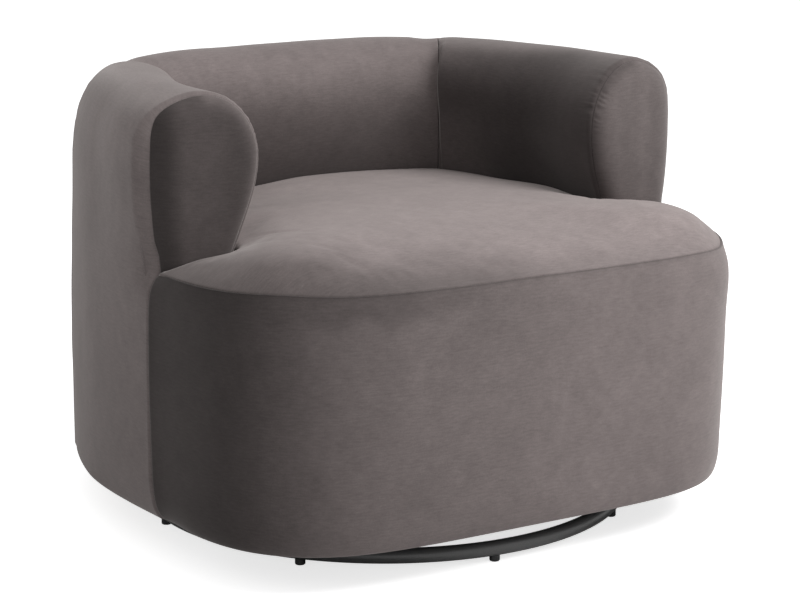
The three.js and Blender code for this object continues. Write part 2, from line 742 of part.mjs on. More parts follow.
function makeBearing() {
  const lowerBoltRoom = boltHoles(lowerBoltCircle, boltRadius, 0, overallHeight, 0);
  const hub = roundBar(hubRadius, hubBottomZ, hubBottomZ + hubThickness, raceSegments);
  addPiece(ringBase, 'hub_plate', cut(hub, ...lowerBoltRoom), blackSteel);
  const lower = turned(raceSection(hubRadius, lowerRaceTopZ, lowerRaceBottomZ), raceSegments);
  addPiece(ringBase, 'lower_race', cut(lower, ...lowerBoltRoom), zincSteel);
  const headBottom = hubBottomZ - clearance - boltHeadHeight;
  const bolt = headedBolt(headBottom, boltHeadHeight, boltHeadRadius, boltRadius, lowerRaceTopZ);
  around(lowerBoltCircle, fastenerCount).forEach(({ x, y }, k) => {
    addPiece(ringBase, `lower_bolt_${k + 1}`, bolt, zincSteel, [x, y, 0]);
  });
  const upper = turned(raceSection(upperRaceRadius, upperRaceBottomZ, upperRaceTopZ), raceSegments);
  addPiece(chair, 'upper_race', cut(upper, ...screwHoles(upperRaceTopZ)), zincSteel);
  const screwHeadBottom = upperRaceBottomZ - clearance - screwHeadHeight;
  const screwTop = upperRaceTopZ + clearance + screwReach;
  const screw = headedBolt(screwHeadBottom, screwHeadHeight, screwHeadRadius, screwRadius, screwTop);
  around(screwCircle, fastenerCount, 1 / 2).forEach(({ x, y }, k) => {
    addPiece(chair, `mounting_screw_${k + 1}`, screw, zincSteel, [x, y, 0]);
  });
}

// The ball cage: a flat ring with its balls.
function makeBallCage() {
  const [inner, outer] = [ballCircleRadius - cageHalfWidth, ballCircleRadius + cageHalfWidth];
  const [low, high] = [ballCentreZ - cageThickness / 2, ballCentreZ + cageThickness / 2];
  const section = [[inner, low], [outer, low], [outer, high], [inner, high], [inner, low]];
  const ring = solidOf(turned(section, raceSegments));
  const ball = new THREE.SphereGeometry(ballRadius, ballSegments, ballRings);
  const balls = around(ballCircleRadius, ballCount).map(({ x, y }) => solidOf(ball, [x, y, ballCentreZ]));
  addPiece(chair, 'ball_cage', geometryOf(balls.reduce((whole, one) => whole.add(one), ring)), zincSteel);
}

makeRingBase();
makeBearing();
makeBallCage();
makeBoards();
makeBackFrame();
makeWebbing();
makeBorder();
makeWall();
makeArmFronts();
makeSeat();

export default chair;
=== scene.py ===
import bpy
import json
from functools import partial
import numpy as np
from mathutils import Matrix, Vector
from mathutils.geometry import delaunay_2d_cdt


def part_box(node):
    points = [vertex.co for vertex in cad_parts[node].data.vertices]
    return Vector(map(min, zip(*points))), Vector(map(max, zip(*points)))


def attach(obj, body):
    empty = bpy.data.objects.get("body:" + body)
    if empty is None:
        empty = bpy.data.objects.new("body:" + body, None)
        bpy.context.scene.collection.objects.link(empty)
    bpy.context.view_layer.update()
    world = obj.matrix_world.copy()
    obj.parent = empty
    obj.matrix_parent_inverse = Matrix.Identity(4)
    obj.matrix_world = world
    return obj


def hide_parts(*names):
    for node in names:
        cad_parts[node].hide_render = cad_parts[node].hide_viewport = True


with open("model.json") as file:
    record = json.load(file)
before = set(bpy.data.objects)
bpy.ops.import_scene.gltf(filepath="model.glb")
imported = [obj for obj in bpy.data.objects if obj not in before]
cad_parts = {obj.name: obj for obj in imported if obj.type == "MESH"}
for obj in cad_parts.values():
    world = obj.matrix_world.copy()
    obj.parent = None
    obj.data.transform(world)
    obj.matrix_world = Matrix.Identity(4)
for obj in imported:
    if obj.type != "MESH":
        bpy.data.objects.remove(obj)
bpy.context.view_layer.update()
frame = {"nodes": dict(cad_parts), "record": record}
cadNodes = frame["nodes"]
degree = np.pi / 180
even = 0.5  # the attribute's value where no light or shade is painted on the pile
print("frame loaded:", len(cadNodes), "nodes")

# lengths that several covers share, in metres, and turns in degrees
form = {
    "halfWidth": 0.5, "halfDepth": 0.465, "height": 0.745, "seam": 0.470, "deck": 0.400,
    "halfWall": 0.088, "armEndY": -0.139, "armStraight": 0.066, "frontTilt": 0.216,
    "backRadius": 0.330, "innerCorner": 0.022, "backTurn": 22, "seamTurn": 50, "cornerTurn": 65,
    "swell": 0.018, "pullOut": 0.025, "pullForward": 0.015, "pullTurn": 79, "pullFullness": 3,
    "pullFall": 1.6, "outlineCentreY": 0.0415, "squareness": 4.4,
    "hemRise": 0.08, "waistAbove": 0.045, "waistReach": 0.03,
    "clothThick": 0.002, "gap": 0.0004, "frontBoard": 0.0205, "seamDip": 0.0014, "seamReach": 0.005,
    "curlRows": 7,
}


# surfaces

def smoothStep(low, high, value):  # 0 below low, 1 above high, a smooth S between
    t = np.clip((value - low) / (high - low), 0, 1)
    return t * t * (3 - 2 * t)


def ripple(a, b, lengths, seed):  # a sum of slanted waves over two coordinates, from -1 to 1
    rng = np.random.default_rng(seed)
    total = 0
    for length in lengths:
        turn, phase = rng.uniform(0, np.pi), rng.uniform(0, 2 * np.pi)
        total = total + np.sin(2 * np.pi * (a * np.cos(turn) + b * np.sin(turn)) / length + phase)
    return total / len(lengths)


def curl(distance, radius):  # how deep a quarter round has sunk at a distance from its end
    d = np.clip(distance, 0, radius)
    return radius - np.sqrt(radius ** 2 - (radius - d) ** 2)


def roll(distance, radius, turn, ease=0.0):  # as curl, but it stops short of a quarter and may start softly
    lean = np.clip(np.sin(turn) - distance / radius, 0, 1)
    lean = lean ** 2 * (1 + ease / np.sin(turn)) / (lean + ease + 1e-9)
    return radius * (1 - np.sqrt(1 - lean ** 2))


def bell(value, middle, width):  # 1 at the middle, falling away on both sides
    return np.exp(-((value - middle) / width) ** 2)


def mix(rows, side=1, **at):
    # a sum of rows, each an amount times windows over named values: (name, from, to) is a smooth step, (name,
    # middle, width, "bell") a bell and a bare name the value itself; an amount may be a left and right pair
    total = 0
    for amount, *windows in rows:
        if isinstance(amount, tuple):
            amount = np.where(side > 0, amount[1], amount[0])
        for window in windows:
            name, *span = [window] if isinstance(window, str) else window
            value = at[name]
            if len(span) == 2:
                value = smoothStep(*span, value)
            elif span:
                value = bell(value, *span[:2])
            amount = amount * value
        total = total + amount
    return total


def closeRows(start, end, step, radius):  # even rows from start to end, packed where both ends curl in
    bend = radius * (1 - np.cos(np.linspace(0, np.pi / 2, form["curlRows"])))
    middle = np.linspace(start + radius, end - radius, max(3, int((end - start) / step)))
    return np.concatenate([start + bend[:-1], middle, (end - bend[:-1])[::-1]])


def makePiece(name, points, faces, uv, nap):  # a closed mesh with its cloth map and its painted light and shade, facing outwards
    points = np.asarray(points, float)
    volume = 0.0
    for face in faces:
        a = points[face[:, 0]]
        for k in range(1, face.shape[1] - 1):
            volume += np.einsum("ij,ij->", a, np.cross(points[face[:, k]], points[face[:, k + 1]]))
    if volume < 0:
        faces = [face[:, ::-1] for face in faces]
    mesh = bpy.data.meshes.new(name)
    mesh.from_pydata(points.tolist(), [], [row for face in faces for row in face.tolist()])
    loops = np.empty(len(mesh.loops), int)
    mesh.loops.foreach_get("vertex_index", loops)
    mesh.uv_layers.new(name="cloth").data.foreach_set("uv", np.asarray(uv, float)[loops].ravel())
    # the painted light and shade, which lightens or darkens the velvet's colour
    mesh.attributes.new("nap", "FLOAT", "POINT").data.foreach_set("value", np.asarray(nap, float))
    mesh.shade_smooth()
    piece = bpy.data.objects.new(name, mesh)
    bpy.context.scene.collection.objects.link(piece)
    return piece


def shellFaces(rows, columns):  # quads of an outer grid, of an inner one turned over and of the rims between
    index = np.arange(rows * columns).reshape(rows, columns)
    under = index + rows * columns
    a, b, c, d = index[:-1, :-1], index[1:, :-1], index[1:, 1:], index[:-1, 1:]
    top = np.stack([a, b, c, d], -1).reshape(-1, 4)
    bottom = (top + rows * columns)[:, ::-1]
    rims = []
    for edge, low in ((index[0], under[0]), (index[-1][::-1], under[-1][::-1]),
                      (index[:, -1], under[:, -1]), (index[::-1, 0], under[::-1, 0])):
        rims.append(np.stack([edge[:-1], edge[1:], low[1:], low[:-1]], -1))
    return [np.concatenate([top, bottom, *rims])]


def makeShell(name, run, along, outer, inner, nap):  # a thick cover from grids of its outer and inner points
    uv = np.stack([np.broadcast_to(run, along.shape), along], -1).reshape(-1, 2)
    points = np.concatenate([outer.reshape(-1, 3), inner.reshape(-1, 3)])
    return makePiece(name, points, shellFaces(*along.shape), np.tile(uv, (2, 1)), np.tile(nap.ravel(), 2))


def lengthUp(out, z):  # running length of section lines from their lower end
    steps = np.hypot(np.diff(out, axis=1), np.diff(z, axis=1))
    return np.concatenate([np.zeros((len(out), 1)), np.cumsum(steps, 1)], 1)


def lineNormals(out, z):  # unit vectors to the outside of section lines that run up the outer face
    dOut, dZ = np.gradient(out, axis=-1), np.gradient(z, axis=-1)
    length = np.hypot(dOut, dZ) + 1e-12
    return dZ / length, -dOut / length


# plan lines

halfWall = form["halfWall"]
cornerRadius = halfWall + form["innerCorner"]
backTurn, seamTurn, cornerTurn, pullTurn = (
    form[name] * degree for name in ("backTurn", "seamTurn", "cornerTurn", "pullTurn"))
centreY, wallBackY = form["outlineCentreY"], form["halfDepth"] - halfWall
outline = form["squareness"], form["halfWidth"], centreY + form["halfDepth"]
curvesDepth = (form["backRadius"] * (1 - np.cos(backTurn))
               + cornerRadius * (np.cos(backTurn) - np.cos(cornerTurn)))
armRadius = (wallBackY - form["armEndY"] - form["armStraight"] - curvesDepth) / np.cos(cornerTurn)
backFlat = (form["halfWidth"] - halfWall - form["backRadius"] * np.sin(backTurn)
            - cornerRadius * (np.sin(cornerTurn) - np.sin(backTurn)) - armRadius * (1 - np.sin(cornerTurn)))
planArcs = ((form["backRadius"], 0, backTurn), (cornerRadius, backTurn, cornerTurn),
            (armRadius, cornerTurn, np.pi / 2))
curveEnds = backFlat + np.cumsum([radius * (b - a) for radius, a, b in planArcs])
seamRun = curveEnds[0] + cornerRadius * (seamTurn - backTurn)
armRun = curveEnds[-1] + form["armStraight"]


def middleLine(run):
    # the wall's middle line at a distance from the back's centre: a straight, three arcs and a straight end
    x, y = np.minimum(run, backFlat), np.full_like(run, wallBackY)
    turn, rest = np.zeros_like(run), run - backFlat
    for radius, low, high in planArcs:
        here = low + np.clip(rest, 0, radius * (high - low)) / radius
        x = x + radius * (np.sin(here) - np.sin(low))
        y = y - radius * (np.cos(low) - np.cos(here))
        turn = np.where(rest > 0, here, turn)
        rest = rest - radius * (high - low)
    return x, y - np.maximum(rest, 0), turn


def wallPoints(run, side, out, z):
    # a point of the wall: along the middle line by run, then out from it; the outer face swells at the back
    # corner, the inner corner is pulled out to the side and forward, and the arm's end is cut on a slant
    x, y, turn = (value[:, None] for value in middleLine(run))
    swell = 1 + form["swell"] / halfWall * np.sin(2 * turn) ** 2
    rising = np.clip((turn - backTurn) / (seamTurn - backTurn), 0, 1)
    past = np.clip((turn - seamTurn) / (pullTurn - seamTurn), 0, 1)
    falling = (1 - past ** form["pullFullness"]) ** form["pullFall"]
    pull = np.where(turn < seamTurn, rising, falling) / halfWall
    tilt = form["frontTilt"] * np.clip((run[:, None] - curveEnds[-1]) / form["armStraight"], 0, 1)
    outerX, outerY = np.sin(turn) * swell, np.cos(turn) * swell + tilt
    innerX = np.sin(turn) - form["pullOut"] * pull
    innerY = np.cos(turn) + form["pullForward"] * pull + tilt
    px = x + out * np.where(out > 0, outerX, innerX)
    py = y + out * np.where(out > 0, outerY, innerY)
    return np.stack([side * px, py, np.broadcast_to(z, px.shape)], -1)


def outlineSlopes(x, y):  # how strongly the seat's outline faces the side and the front
    n, a, b = outline
    ahead = np.minimum(y - centreY, 0)
    return np.abs(x / a) ** (n - 1) / a, np.abs(ahead / b) ** (n - 1) / b


def borderLine(count):
    # the seat's outline from the left crease round the front, |x/a|^n + |y/b|^n = 1, evenly spaced by length,
    # with its outward normals; near its ends they turn square to the arm's slanted front
    n, a, b = outline
    creaseY = form["armEndY"] + halfWall * form["frontTilt"] - form["gap"]
    reach = centreY - creaseY
    last = np.arctan2(a * (1 - (reach / b) ** n) ** (1 / n), reach)
    bearing = np.linspace(-last, last, border["samples"])
    radius = (np.abs(np.sin(bearing) / a) ** n + np.abs(np.cos(bearing) / b) ** n) ** (-1 / n)
    x, y = radius * np.sin(bearing), centreY - radius * np.cos(bearing)
    run = np.concatenate([[0], np.cumsum(np.hypot(np.diff(x), np.diff(y)))])
    at = closeRows(0, run[-1], run[-1] / count, border["endCurl"])
    x, y = np.interp(at, run, x), np.interp(at, run, y)
    nx, ny = outlineSlopes(x, y)
    length = np.hypot(nx, ny)
    nx, ny = np.sign(x) * nx / length, -ny / length
    nearEnd = 1 - smoothStep(0, border["squareEnd"], np.minimum(at, run[-1] - at))
    return at, x, y, nx + (np.sign(x) - nx) * nearEnd, ny + (form["frontTilt"] - ny) * nearEnd


def borderInset(count, inset, atCorner=0):  # the border's line set in by an inset, and more at the corners
    x, y, nx, ny = borderLine(count)[1:]
    inset = inset + atCorner * frontCorner(x, y)
    return np.stack([x - nx * inset, y - ny * inset], 1)


def frontCorner(x, y):  # 1 where the seat's outline turns a front corner, 0 on its straights and behind
    nx, ny = outlineSlopes(x, y)
    return (2 * nx * ny / (nx ** 2 + ny ** 2 + 1e-12)) ** 2


def tuckShape(z):  # 1 at the hem, falling to 0 at hemRise above it along a quarter round
    return curl(z - wall["hem"], form["hemRise"]) / form["hemRise"]


def waistShape(z, fall):  # 1 at the seat's edge, a bell above it and exp(-drop / fall) below it
    above, below = np.maximum(z - form["seam"], 0), np.maximum(form["seam"] - z, 0)
    return np.exp(-(above / form["waistAbove"]) ** 2 - below / fall)


# the wall: back and arms

wall = {
    "crestOut": 0.004, "outerRound": 0.098, "cornerRound": 0.170, "armRound": 0.062, "innerRound": 0.100,
    "innerLean": 0.040, "crestLift": 0.004, "crestFoot": 0.66, "shoulder": 0.10, "rows": (26, 47, 4),
    "hem": 0.066, "bottomInset": 0.002, "bottomRise": 0.030, "turnUnder": 0.034, "hemRows": (4, 12),
    # by the middle line's turn, in degrees, as middle and width: round corner, fuller arm, lower crest
    "cornerTurns": (58, 26), "fullTurns": (66, 13), "dropTurns": (38, 17), "leftTurns": (42, 30),
    "armTurns": (70, 90), "curveDrop": 0.0062, "leftDrop": 0.0055, "leftFrom": (0, -0.1),
    # pairs are for the left and the right arm; the right one is stuffed a little fuller
    "outerRoll": (0.050, 0.017), "innerRoll": (0.012, 0.010), "topRoll": 0.014, "footRoll": 0.008,
    "footRollTo": (0.46, 0.55), "frontTurn": 50, "rollEase": 0.3, "easeFrom": (0.02, 0.04),
    "tuckReach": 0.28, "tuckPower": 0.8, "waistFall": 0.017, "drawInReach": 0.06,
    "seamCurl": 0.0035, "rowStep": 0.006, "endRows": 25, "endReach": 0.05, "boardStep": 0.0002,
    "turnIn": 0.004, "padFace": -0.0285, "panelFace": 0.0666, "rollBottom": 0.6655, "footOfPad": 0.0925,
    # small pleats over the inner shoulder with their painted shade, gathers beside the seams and slack in the
    # faces
    "pleatDepth": (0.0006, 0.0018), "pleatPitch": 0.0105, "pleatSway": 2.2, "pleatSwayPitch": 0.043,
    "pleatSide": (0.2, -0.5), "pleatAt": (0.682, 0.036), "pleatStart": 0.004, "pleatReach": 0.010,
    "pleatShade": 0.5, "gatherDepth": 0.0007, "gatherLength": 0.016, "gatherMix": (0.83, 1, 1.27, 1.9),
    "gatherReach": 0.022, "gatherFrom": (0.5, 0.62), "waveDepth": 0.0006, "waveFrom": (0.10, 0.20),
    "waveLengths": (0.11, 0.17, 0.23, 0.31),
    "shape": [  # how far the section stands further out, as rows for mix
        (0.0095, "outer", ("z", 0.64, 0.24)),  # everywhere towards the floor
        (-0.024, "full", ("z", 0.60, 0.71), ("out", 0.02, -0.05)),  # the arm's inner shoulder past the corner
        ((0.0185, 0.019), "outer", ("z", 0.62, 0.15, "bell"), ("toFront", 0.24, 0.02)),  # out at the top
        ((-0.0215, -0.008), "outer", "waist"),  # in beside the seat's edge
        (-0.022, "outer", "hem"),  # tucked in at the hem towards the crease
        ((0.0135, -0.002), "inner", ("z", 0.64, 0.49), "drawn"),  # drawn in beside the seat
        ((0.0008, -0.014), "inner", ("z", 0.61, 0.11, "bell"), ("toFront", 0.2, 0.03)),  # fuller inside
    ],
    # painted light and shade: how much lighter or darker the pile is drawn than its own colour, which is 1,
    # as rows for mix
    "backLitAndShaded": [(0.705,), (0.66, ("z", 0.58, 0.73)), (-0.08, ("x", 0, 0.25), ("z", 0.58, 0.73)),
                 (0.12, ("x", 0.1, 0.3), ("z", 0.6, 0.52)), (-0.13, ("z", 0.59, 0.53), ("x", 0.25, 0.1))],
    "leftLitAndShaded": [(0.91,), (0.08, ("z", 0.2, 0.4)), (0.28, ("z", 0.60, 0.72))],
    "rightLitAndShaded": [(0.295,), (0.18, ("z", 0.62, 0.735)), (0.10, ("y", 0.05, 0.2)),
                  (0.06, ("y", -0.02, -0.12))],
    # where the outer and the inner side begin, as shares of the half wall, and where the tones give way
    "outerFrom": (0.3, 0.9), "innerFrom": (0, -0.6), "behind": (0.37, 0.34), "overTop": (0.70, 0.74),
    "armInside": (0.44, 0.37), "armInsideLean": 0.5,
}


def ofSide(name, side):  # a wall value that differs between the left and the right arm
    return wall[name][1 if side > 0 else 0]


def turnBell(turn, name):  # a bell over the middle line's turn
    middle, width = wall[name]
    return bell(turn, middle * degree, width * degree)


def bottomEdge(face, inset, rise):
    # a straight turned under, then a quarter ellipse: face - inset * (1 - sin t), hem + rise * (1 - cos t)
    inset = np.reshape(inset, (-1, 1))
    straight, rounded = wall["hemRows"]
    under = np.linspace(-wall["turnUnder"], 0, straight + 1)[:-1]
    t = np.linspace(0, np.pi / 2, rounded)
    out = np.concatenate([face - inset + under, face - inset * (1 - np.sin(t))], 1)
    z = wall["hem"] + rise * (1 - np.cos(np.concatenate([np.zeros(straight), t])))
    return out, np.broadcast_to(z, out.shape)


def wallOutline(run, side):
    # the section's outer line at each run: lower edge, outer face, outer round, inner round, then an inner
    # face that draws in by the square of its way down, to the underside of the seat
    turn, toFront = middleLine(run)[2][:, None], armRun - run[:, None]
    corner = turnBell(turn, "cornerTurns")
    low, high = wall["armTurns"]
    atArm = smoothStep(low * degree, high * degree, turn)
    outerRound = wall["outerRound"] + (wall["cornerRound"] - wall["outerRound"]) * corner
    outerRound = outerRound + (wall["armRound"] - wall["outerRound"]) * atArm
    lowOut, lowZ = bottomEdge(halfWall, wall["bottomInset"] * (1 - corner), wall["bottomRise"])
    faceTop, faceFoot = form["height"] - outerRound, lowZ[:, -1:]
    faceRows, roundRows, tailRows = wall["rows"]
    down = np.linspace(0, 1, faceRows + 1)[1:]
    t = np.linspace(0, np.pi / 2, roundRows + 1)[1:]
    power = 1 - wall["shoulder"] * corner
    topOut = wall["crestOut"] + (halfWall - wall["crestOut"]) * np.maximum(np.cos(t), 0) ** power
    topZ = faceTop + outerRound * np.sin(t) ** power
    innerSpring = form["height"] - wall["innerRound"]
    inOut = wall["crestOut"] - (halfWall + wall["crestOut"]) * np.sin(t)
    inZ = innerSpring + wall["innerRound"] * np.cos(t)
    leanOut = wall["innerLean"] * down ** 2 - halfWall
    leanZ = innerSpring - (innerSpring - form["seam"]) * down
    tailZ = np.linspace(form["seam"], form["deck"], tailRows + 1)[1:]
    ones = np.ones_like(turn)
    out = np.concatenate([lowOut, ones * np.full(faceRows, halfWall), topOut, ones * inOut,
                          ones * leanOut, ones * np.full(tailRows, wall["innerLean"] - halfWall)], 1)
    z = np.concatenate([lowZ, faceFoot + (faceTop - faceFoot) * down, topZ, ones * inZ, ones * leanZ,
                        ones * tailZ], 1)
    tuck = tuckShape(z) * smoothStep(wall["tuckReach"], 0, toFront) ** wall["tuckPower"]
    waist = waistShape(z, wall["waistFall"]) * np.exp(-toFront / form["waistReach"])
    out = out + mix(wall["shape"], side, out=out, z=z, toFront=toFront, hem=tuck, waist=waist,
                    outer=smoothStep(*np.multiply(wall["outerFrom"], halfWall), out),
                    inner=smoothStep(*np.multiply(wall["innerFrom"], halfWall), out),
                    full=turnBell(turn, "fullTurns"),
                    drawn=np.exp(-toFront / wall["drawInReach"]))
    lift = wall["crestLift"] - wall["curveDrop"] * turnBell(turn, "dropTurns")
    return out, z + lift * smoothStep(wall["crestFoot"], form["height"], z)


def frontSink(toFront, normalOut, z, side):
    # how far the arm's front end has sunk: a roll, fullest at its sides and tight where it meets the border,
    # and the seam's dip
    flank = np.where(normalOut > 0, ofSide("outerRoll", side), ofSide("innerRoll", side))
    radius = wall["topRoll"] + (flank - wall["topRoll"]) * normalOut ** 4
    radius = wall["footRoll"] + (radius - wall["footRoll"]) * smoothStep(*wall["footRollTo"], z)
    ease = wall["rollEase"] * smoothStep(*wall["easeFrom"], radius)
    return roll(toFront, radius, wall["frontTurn"] * degree, ease) + seamDip(toFront)


def seamDip(distance):  # how far a cover dips beside a seam
    return form["seamDip"] * (1 - np.clip(distance / form["seamReach"], 0, 1)) ** 2


def resample(points, count):  # even points along an open line
    run = np.concatenate([[0], np.cumsum(np.linalg.norm(np.diff(points, axis=0), axis=1))])
    at = np.linspace(0, run[-1], count)
    return np.stack([np.interp(at, run, points[:, k]) for k in range(2)], 1)


def padLine(z, skinOut, skinZ):
    # the pad's inner line: the cloth's thickness up to the board, then round the panel, rail and inner face
    low = int(np.argmax(z[0] > wall["footOfPad"])) + 2
    corners = np.array([[wall["panelFace"], wall["footOfPad"]], [wall["panelFace"], wall["rollBottom"]],
                        [wall["padFace"], wall["rollBottom"]], [wall["padFace"], form["deck"]]])
    inside = resample(corners, z.shape[1] - low)
    lineOut, lineZ = skinOut.copy(), skinZ.copy()
    lineOut[:, low:], lineZ[:, low:] = inside[:, 0], inside[:, 1]
    return lineOut, lineZ


def pleatWave(z, normalOut):  # small pleats where the cloth is eased over the inner shoulder, by height
    sway = wall["pleatSway"] * np.sin(2 * np.pi * z / wall["pleatSwayPitch"])
    wave = np.sin(2 * np.pi * z / wall["pleatPitch"] + sway)
    return wave * smoothStep(*wall["pleatSide"], normalOut) * bell(z, *wall["pleatAt"])


def wallPiece(name, runs, side, lightAndShadeOf, seed, arm=False):
    # a thick cover carried along the wall; both ends curl in to their seams, with small gathers beside them
    out, z = wallOutline(np.abs(runs), side)
    turn = middleLine(np.abs(runs))[2]
    leftShare = smoothStep(*wall["leftFrom"], runs * side if side else runs) * turnBell(turn, "leftTurns")
    z = z - wall["leftDrop"] * leftShare[:, None] * smoothStep(wall["crestFoot"], form["height"], z)
    nOut, nZ = lineNormals(out, z)
    fromStart, fromEnd = (runs - runs[0])[:, None], (runs[-1] - runs)[:, None]
    sink = curl(fromStart, wall["seamCurl"])
    sink = sink + (frontSink(fromEnd, nOut, z, side) if arm else curl(fromEnd, wall["seamCurl"]))
    along = lengthUp(out, z)
    gather = 0
    for away, shift in ((fromStart, 0), (fromEnd, 7)):
        wave = ripple(along, 0, [wall["gatherLength"] * k for k in wall["gatherMix"]], seed + shift)
        gather = gather + wave * np.exp(-away / wall["gatherReach"])
    pleats = 0
    if arm:
        pleats = pleatWave(z, nOut) * smoothStep(0, wall["pleatStart"], fromEnd)
        pleats = pleats * np.exp(-fromEnd / wall["pleatReach"])
    lift = wall["gatherDepth"] * gather * smoothStep(*wall["gatherFrom"], z)
    wave = ripple(runs[:, None], along, wall["waveLengths"], seed + 3)
    lift = lift + wall["waveDepth"] * smoothStep(*wall["waveFrom"], z) * wave
    lift = lift + ofSide("pleatDepth", side) * pleats
    faceOut, faceZ = out + nOut * (lift - sink), z + nZ * (lift - sink)
    skinOut, skinZ = faceOut - nOut * form["clothThick"], faceZ - nZ * form["clothThick"]
    lineOut, lineZ = padLine(z, skinOut, skinZ)
    if arm:  # past the arm's front board only the cloth is left, and it is turned in behind the facing
        pastBoard = fromEnd < form["frontBoard"] + form["gap"]
        lineOut, lineZ = np.where(pastBoard, skinOut, lineOut), np.where(pastBoard, skinZ, lineZ)
        lineOut[-1], lineZ[-1] = lineOut[-1] - nOut[-1] * wall["turnIn"], lineZ[-1] - nZ[-1] * wall["turnIn"]

    def place(o, h):
        points = wallPoints(np.abs(runs), 1, o, h)
        points[..., 0] *= side if side else np.where(runs < 0, -1, 1)[:, None]
        return points

    outer = place(faceOut, faceZ)
    # painted light and shade, with painted light on the pleats' crests and painted shade in their hollows
    nap = lightAndShadeOf(outer) * (1 + wall["pleatShade"] * pleats)
    return makeShell(name, runs[:, None], along, outer, place(lineOut, lineZ), nap)


def backLightAndShade(points):  # painted light and shade: lighter over the top, where the light falls, darker towards the seat inside, where shade gathers; its own colour behind
    x, y, z = np.moveaxis(points, -1, 0)
    inside = np.maximum(smoothStep(*wall["behind"], y), smoothStep(*wall["overTop"], z))
    return even * (1 + (mix(wall["backLitAndShaded"], x=x, z=z) - 1) * inside)


def leftArmLightAndShade(points):  # painted light: lighter over the shoulder, where the light falls from above, a little darker down the outside
    return even * mix(wall["leftLitAndShaded"], z=points[..., 2])


def rightArmLightAndShade(points):  # painted shade: dark on the inside, which faces away from the light, lighter towards its top and towards both ends
    x, y, z = np.moveaxis(points, -1, 0)
    inside = smoothStep(*wall["armInside"], x + wall["armInsideLean"] * np.clip(y, 0, 1))
    return even * (1 + (mix(wall["rightLitAndShaded"], y=y, z=z) - 1) * inside)


backRuns = closeRows(-seamRun + form["gap"], seamRun - form["gap"], wall["rowStep"], wall["seamCurl"])
backCover = wallPiece("backCover", backRuns, 0, backLightAndShade, 11)
armRuns = closeRows(seamRun + form["gap"], armRun, wall["rowStep"], wall["seamCurl"])
endRuns = armRun - np.linspace(wall["endReach"], 0, wall["endRows"])
boardLine = armRun - form["frontBoard"] - form["gap"]
boardRuns = [boardLine - wall["boardStep"], boardLine + wall["boardStep"]]
armRuns = np.sort(np.concatenate([armRuns[armRuns < armRun - wall["endReach"]], endRuns, boardRuns]))
leftArm = wallPiece("leftArmCover", armRuns, -1, leftArmLightAndShade, 23, True)
rightArm = wallPiece("rightArmCover", armRuns, 1, rightArmLightAndShade, 37, True)
print("wall covers made")


# the front border

border = {
    "samples": 4000, "count": 260, "squareEnd": 0.05, "rows": 60, "curlRows": 10,
    "endRoll": 0.007, "endTurn": 50, "endCurl": 0.010, "seamInset": 0.003, "bulgeHeight": 0.045,
    "topCurl": 0.002, "topCurlTurn": 150, "topGap": 0.001, "foam": 0.0253, "foamGap": 0.0006,
    "belly": 0.003, "bottomInset": 0.013, "bottomRise": 0.050,
    "waveDepth": 0.0008, "waveLengths": (0.13, 0.19, 0.27, 0.41), "waveFrom": (0.10, 0.2), "waveTop": 0.03,
    # at the front corners the border leans in to the seam, which lies higher on the left, lower on the right
    "waistFall": 0.016, "cornerIn": 0.005, "cornerInFrom": 0.42, "cornerLift": (0.0045, -0.0075),
    "liftFrom": 0.38,
    "shape": [  # how far the face stands further back, as rows for mix
        ((0.0195, 0.009), "waist", "nearEnd"),  # its ends draw in at the seat as the arms do
        (-0.0075, "nearEnd"),  # and stand out a little below
        (0.0045, "corner", ("z", 0.45, 0.15)),  # the front corners lean in towards the floor
        (-0.003, "corner", ("z", 0.405, 0.04, "bell")),  # with a slight bulge under the seam
        (0.011, "tuck", ("fromEnd", 0.12, 0)),  # tucked in at the hem towards the crease
    ],
    # painted light and shade along the border from the left: dark, light across the front, lighter to the
    # right, where the light comes from
    "tone": [(0.275,), (0.705, ("run", 0.17, 0.46)), (0.30, ("run", 0.4, 1.0))],
    # darker over it: a patch below the seam with a ragged edge, the hem, and painted shade in the fold into
    # the seam
    "shades": [(-0.30, ("run", 0.44, 0.17, "bell"), ("ragged", 0.415, 0.445)), (-0.07, ("z", 0.25, 0.1)),
               (-0.4, ("drop", 0.004, 0.001))],
    "ragged": 0.012, "raggedLengths": (0.05, 0.08, 0.13),
}


def borderOutline():
    # lower edge, an upright face with a slight belly, and a top edge that curls in and down into the seam
    lowOut, lowZ = (line[0] for line in bottomEdge(0, border["bottomInset"], border["bottomRise"]))
    r = border["topCurl"]
    top = form["seam"] - r - border["topGap"]
    z = np.linspace(lowZ[-1], top, border["rows"])[1:]
    up = (z - lowZ[-1]) / (top - lowZ[-1])
    nearTop = np.clip(1 - (top - z) / border["bulgeHeight"], 0, 1)
    out = border["belly"] * np.sin(np.pi * up) - border["seamInset"] * nearTop ** 2
    t = np.linspace(0, border["topCurlTurn"] * degree, border["curlRows"] + 1)[1:]
    curlOut, curlZ = out[-1] - r * (1 - np.cos(t)), top + r * np.sin(t)
    return np.concatenate([lowOut, out, curlOut]), np.concatenate([lowZ, z, curlZ])


def borderLightAndShade(run, z):  # painted light and shade along the border: its tone, times 1 and each shade
    ragged = z + ripple(run, z, border["raggedLengths"], 91) * border["ragged"]
    tone = even * mix(border["tone"], run=run)
    for shade in border["shades"]:
        tone = tone * (1 + mix([shade], run=run, z=z, ragged=ragged, drop=form["seam"] - z))
    return tone


def cornerLift(x, corner):  # how much higher the seam lies at a front corner
    left, right = border["cornerLift"]
    return np.where(x > 0, right, left) * corner


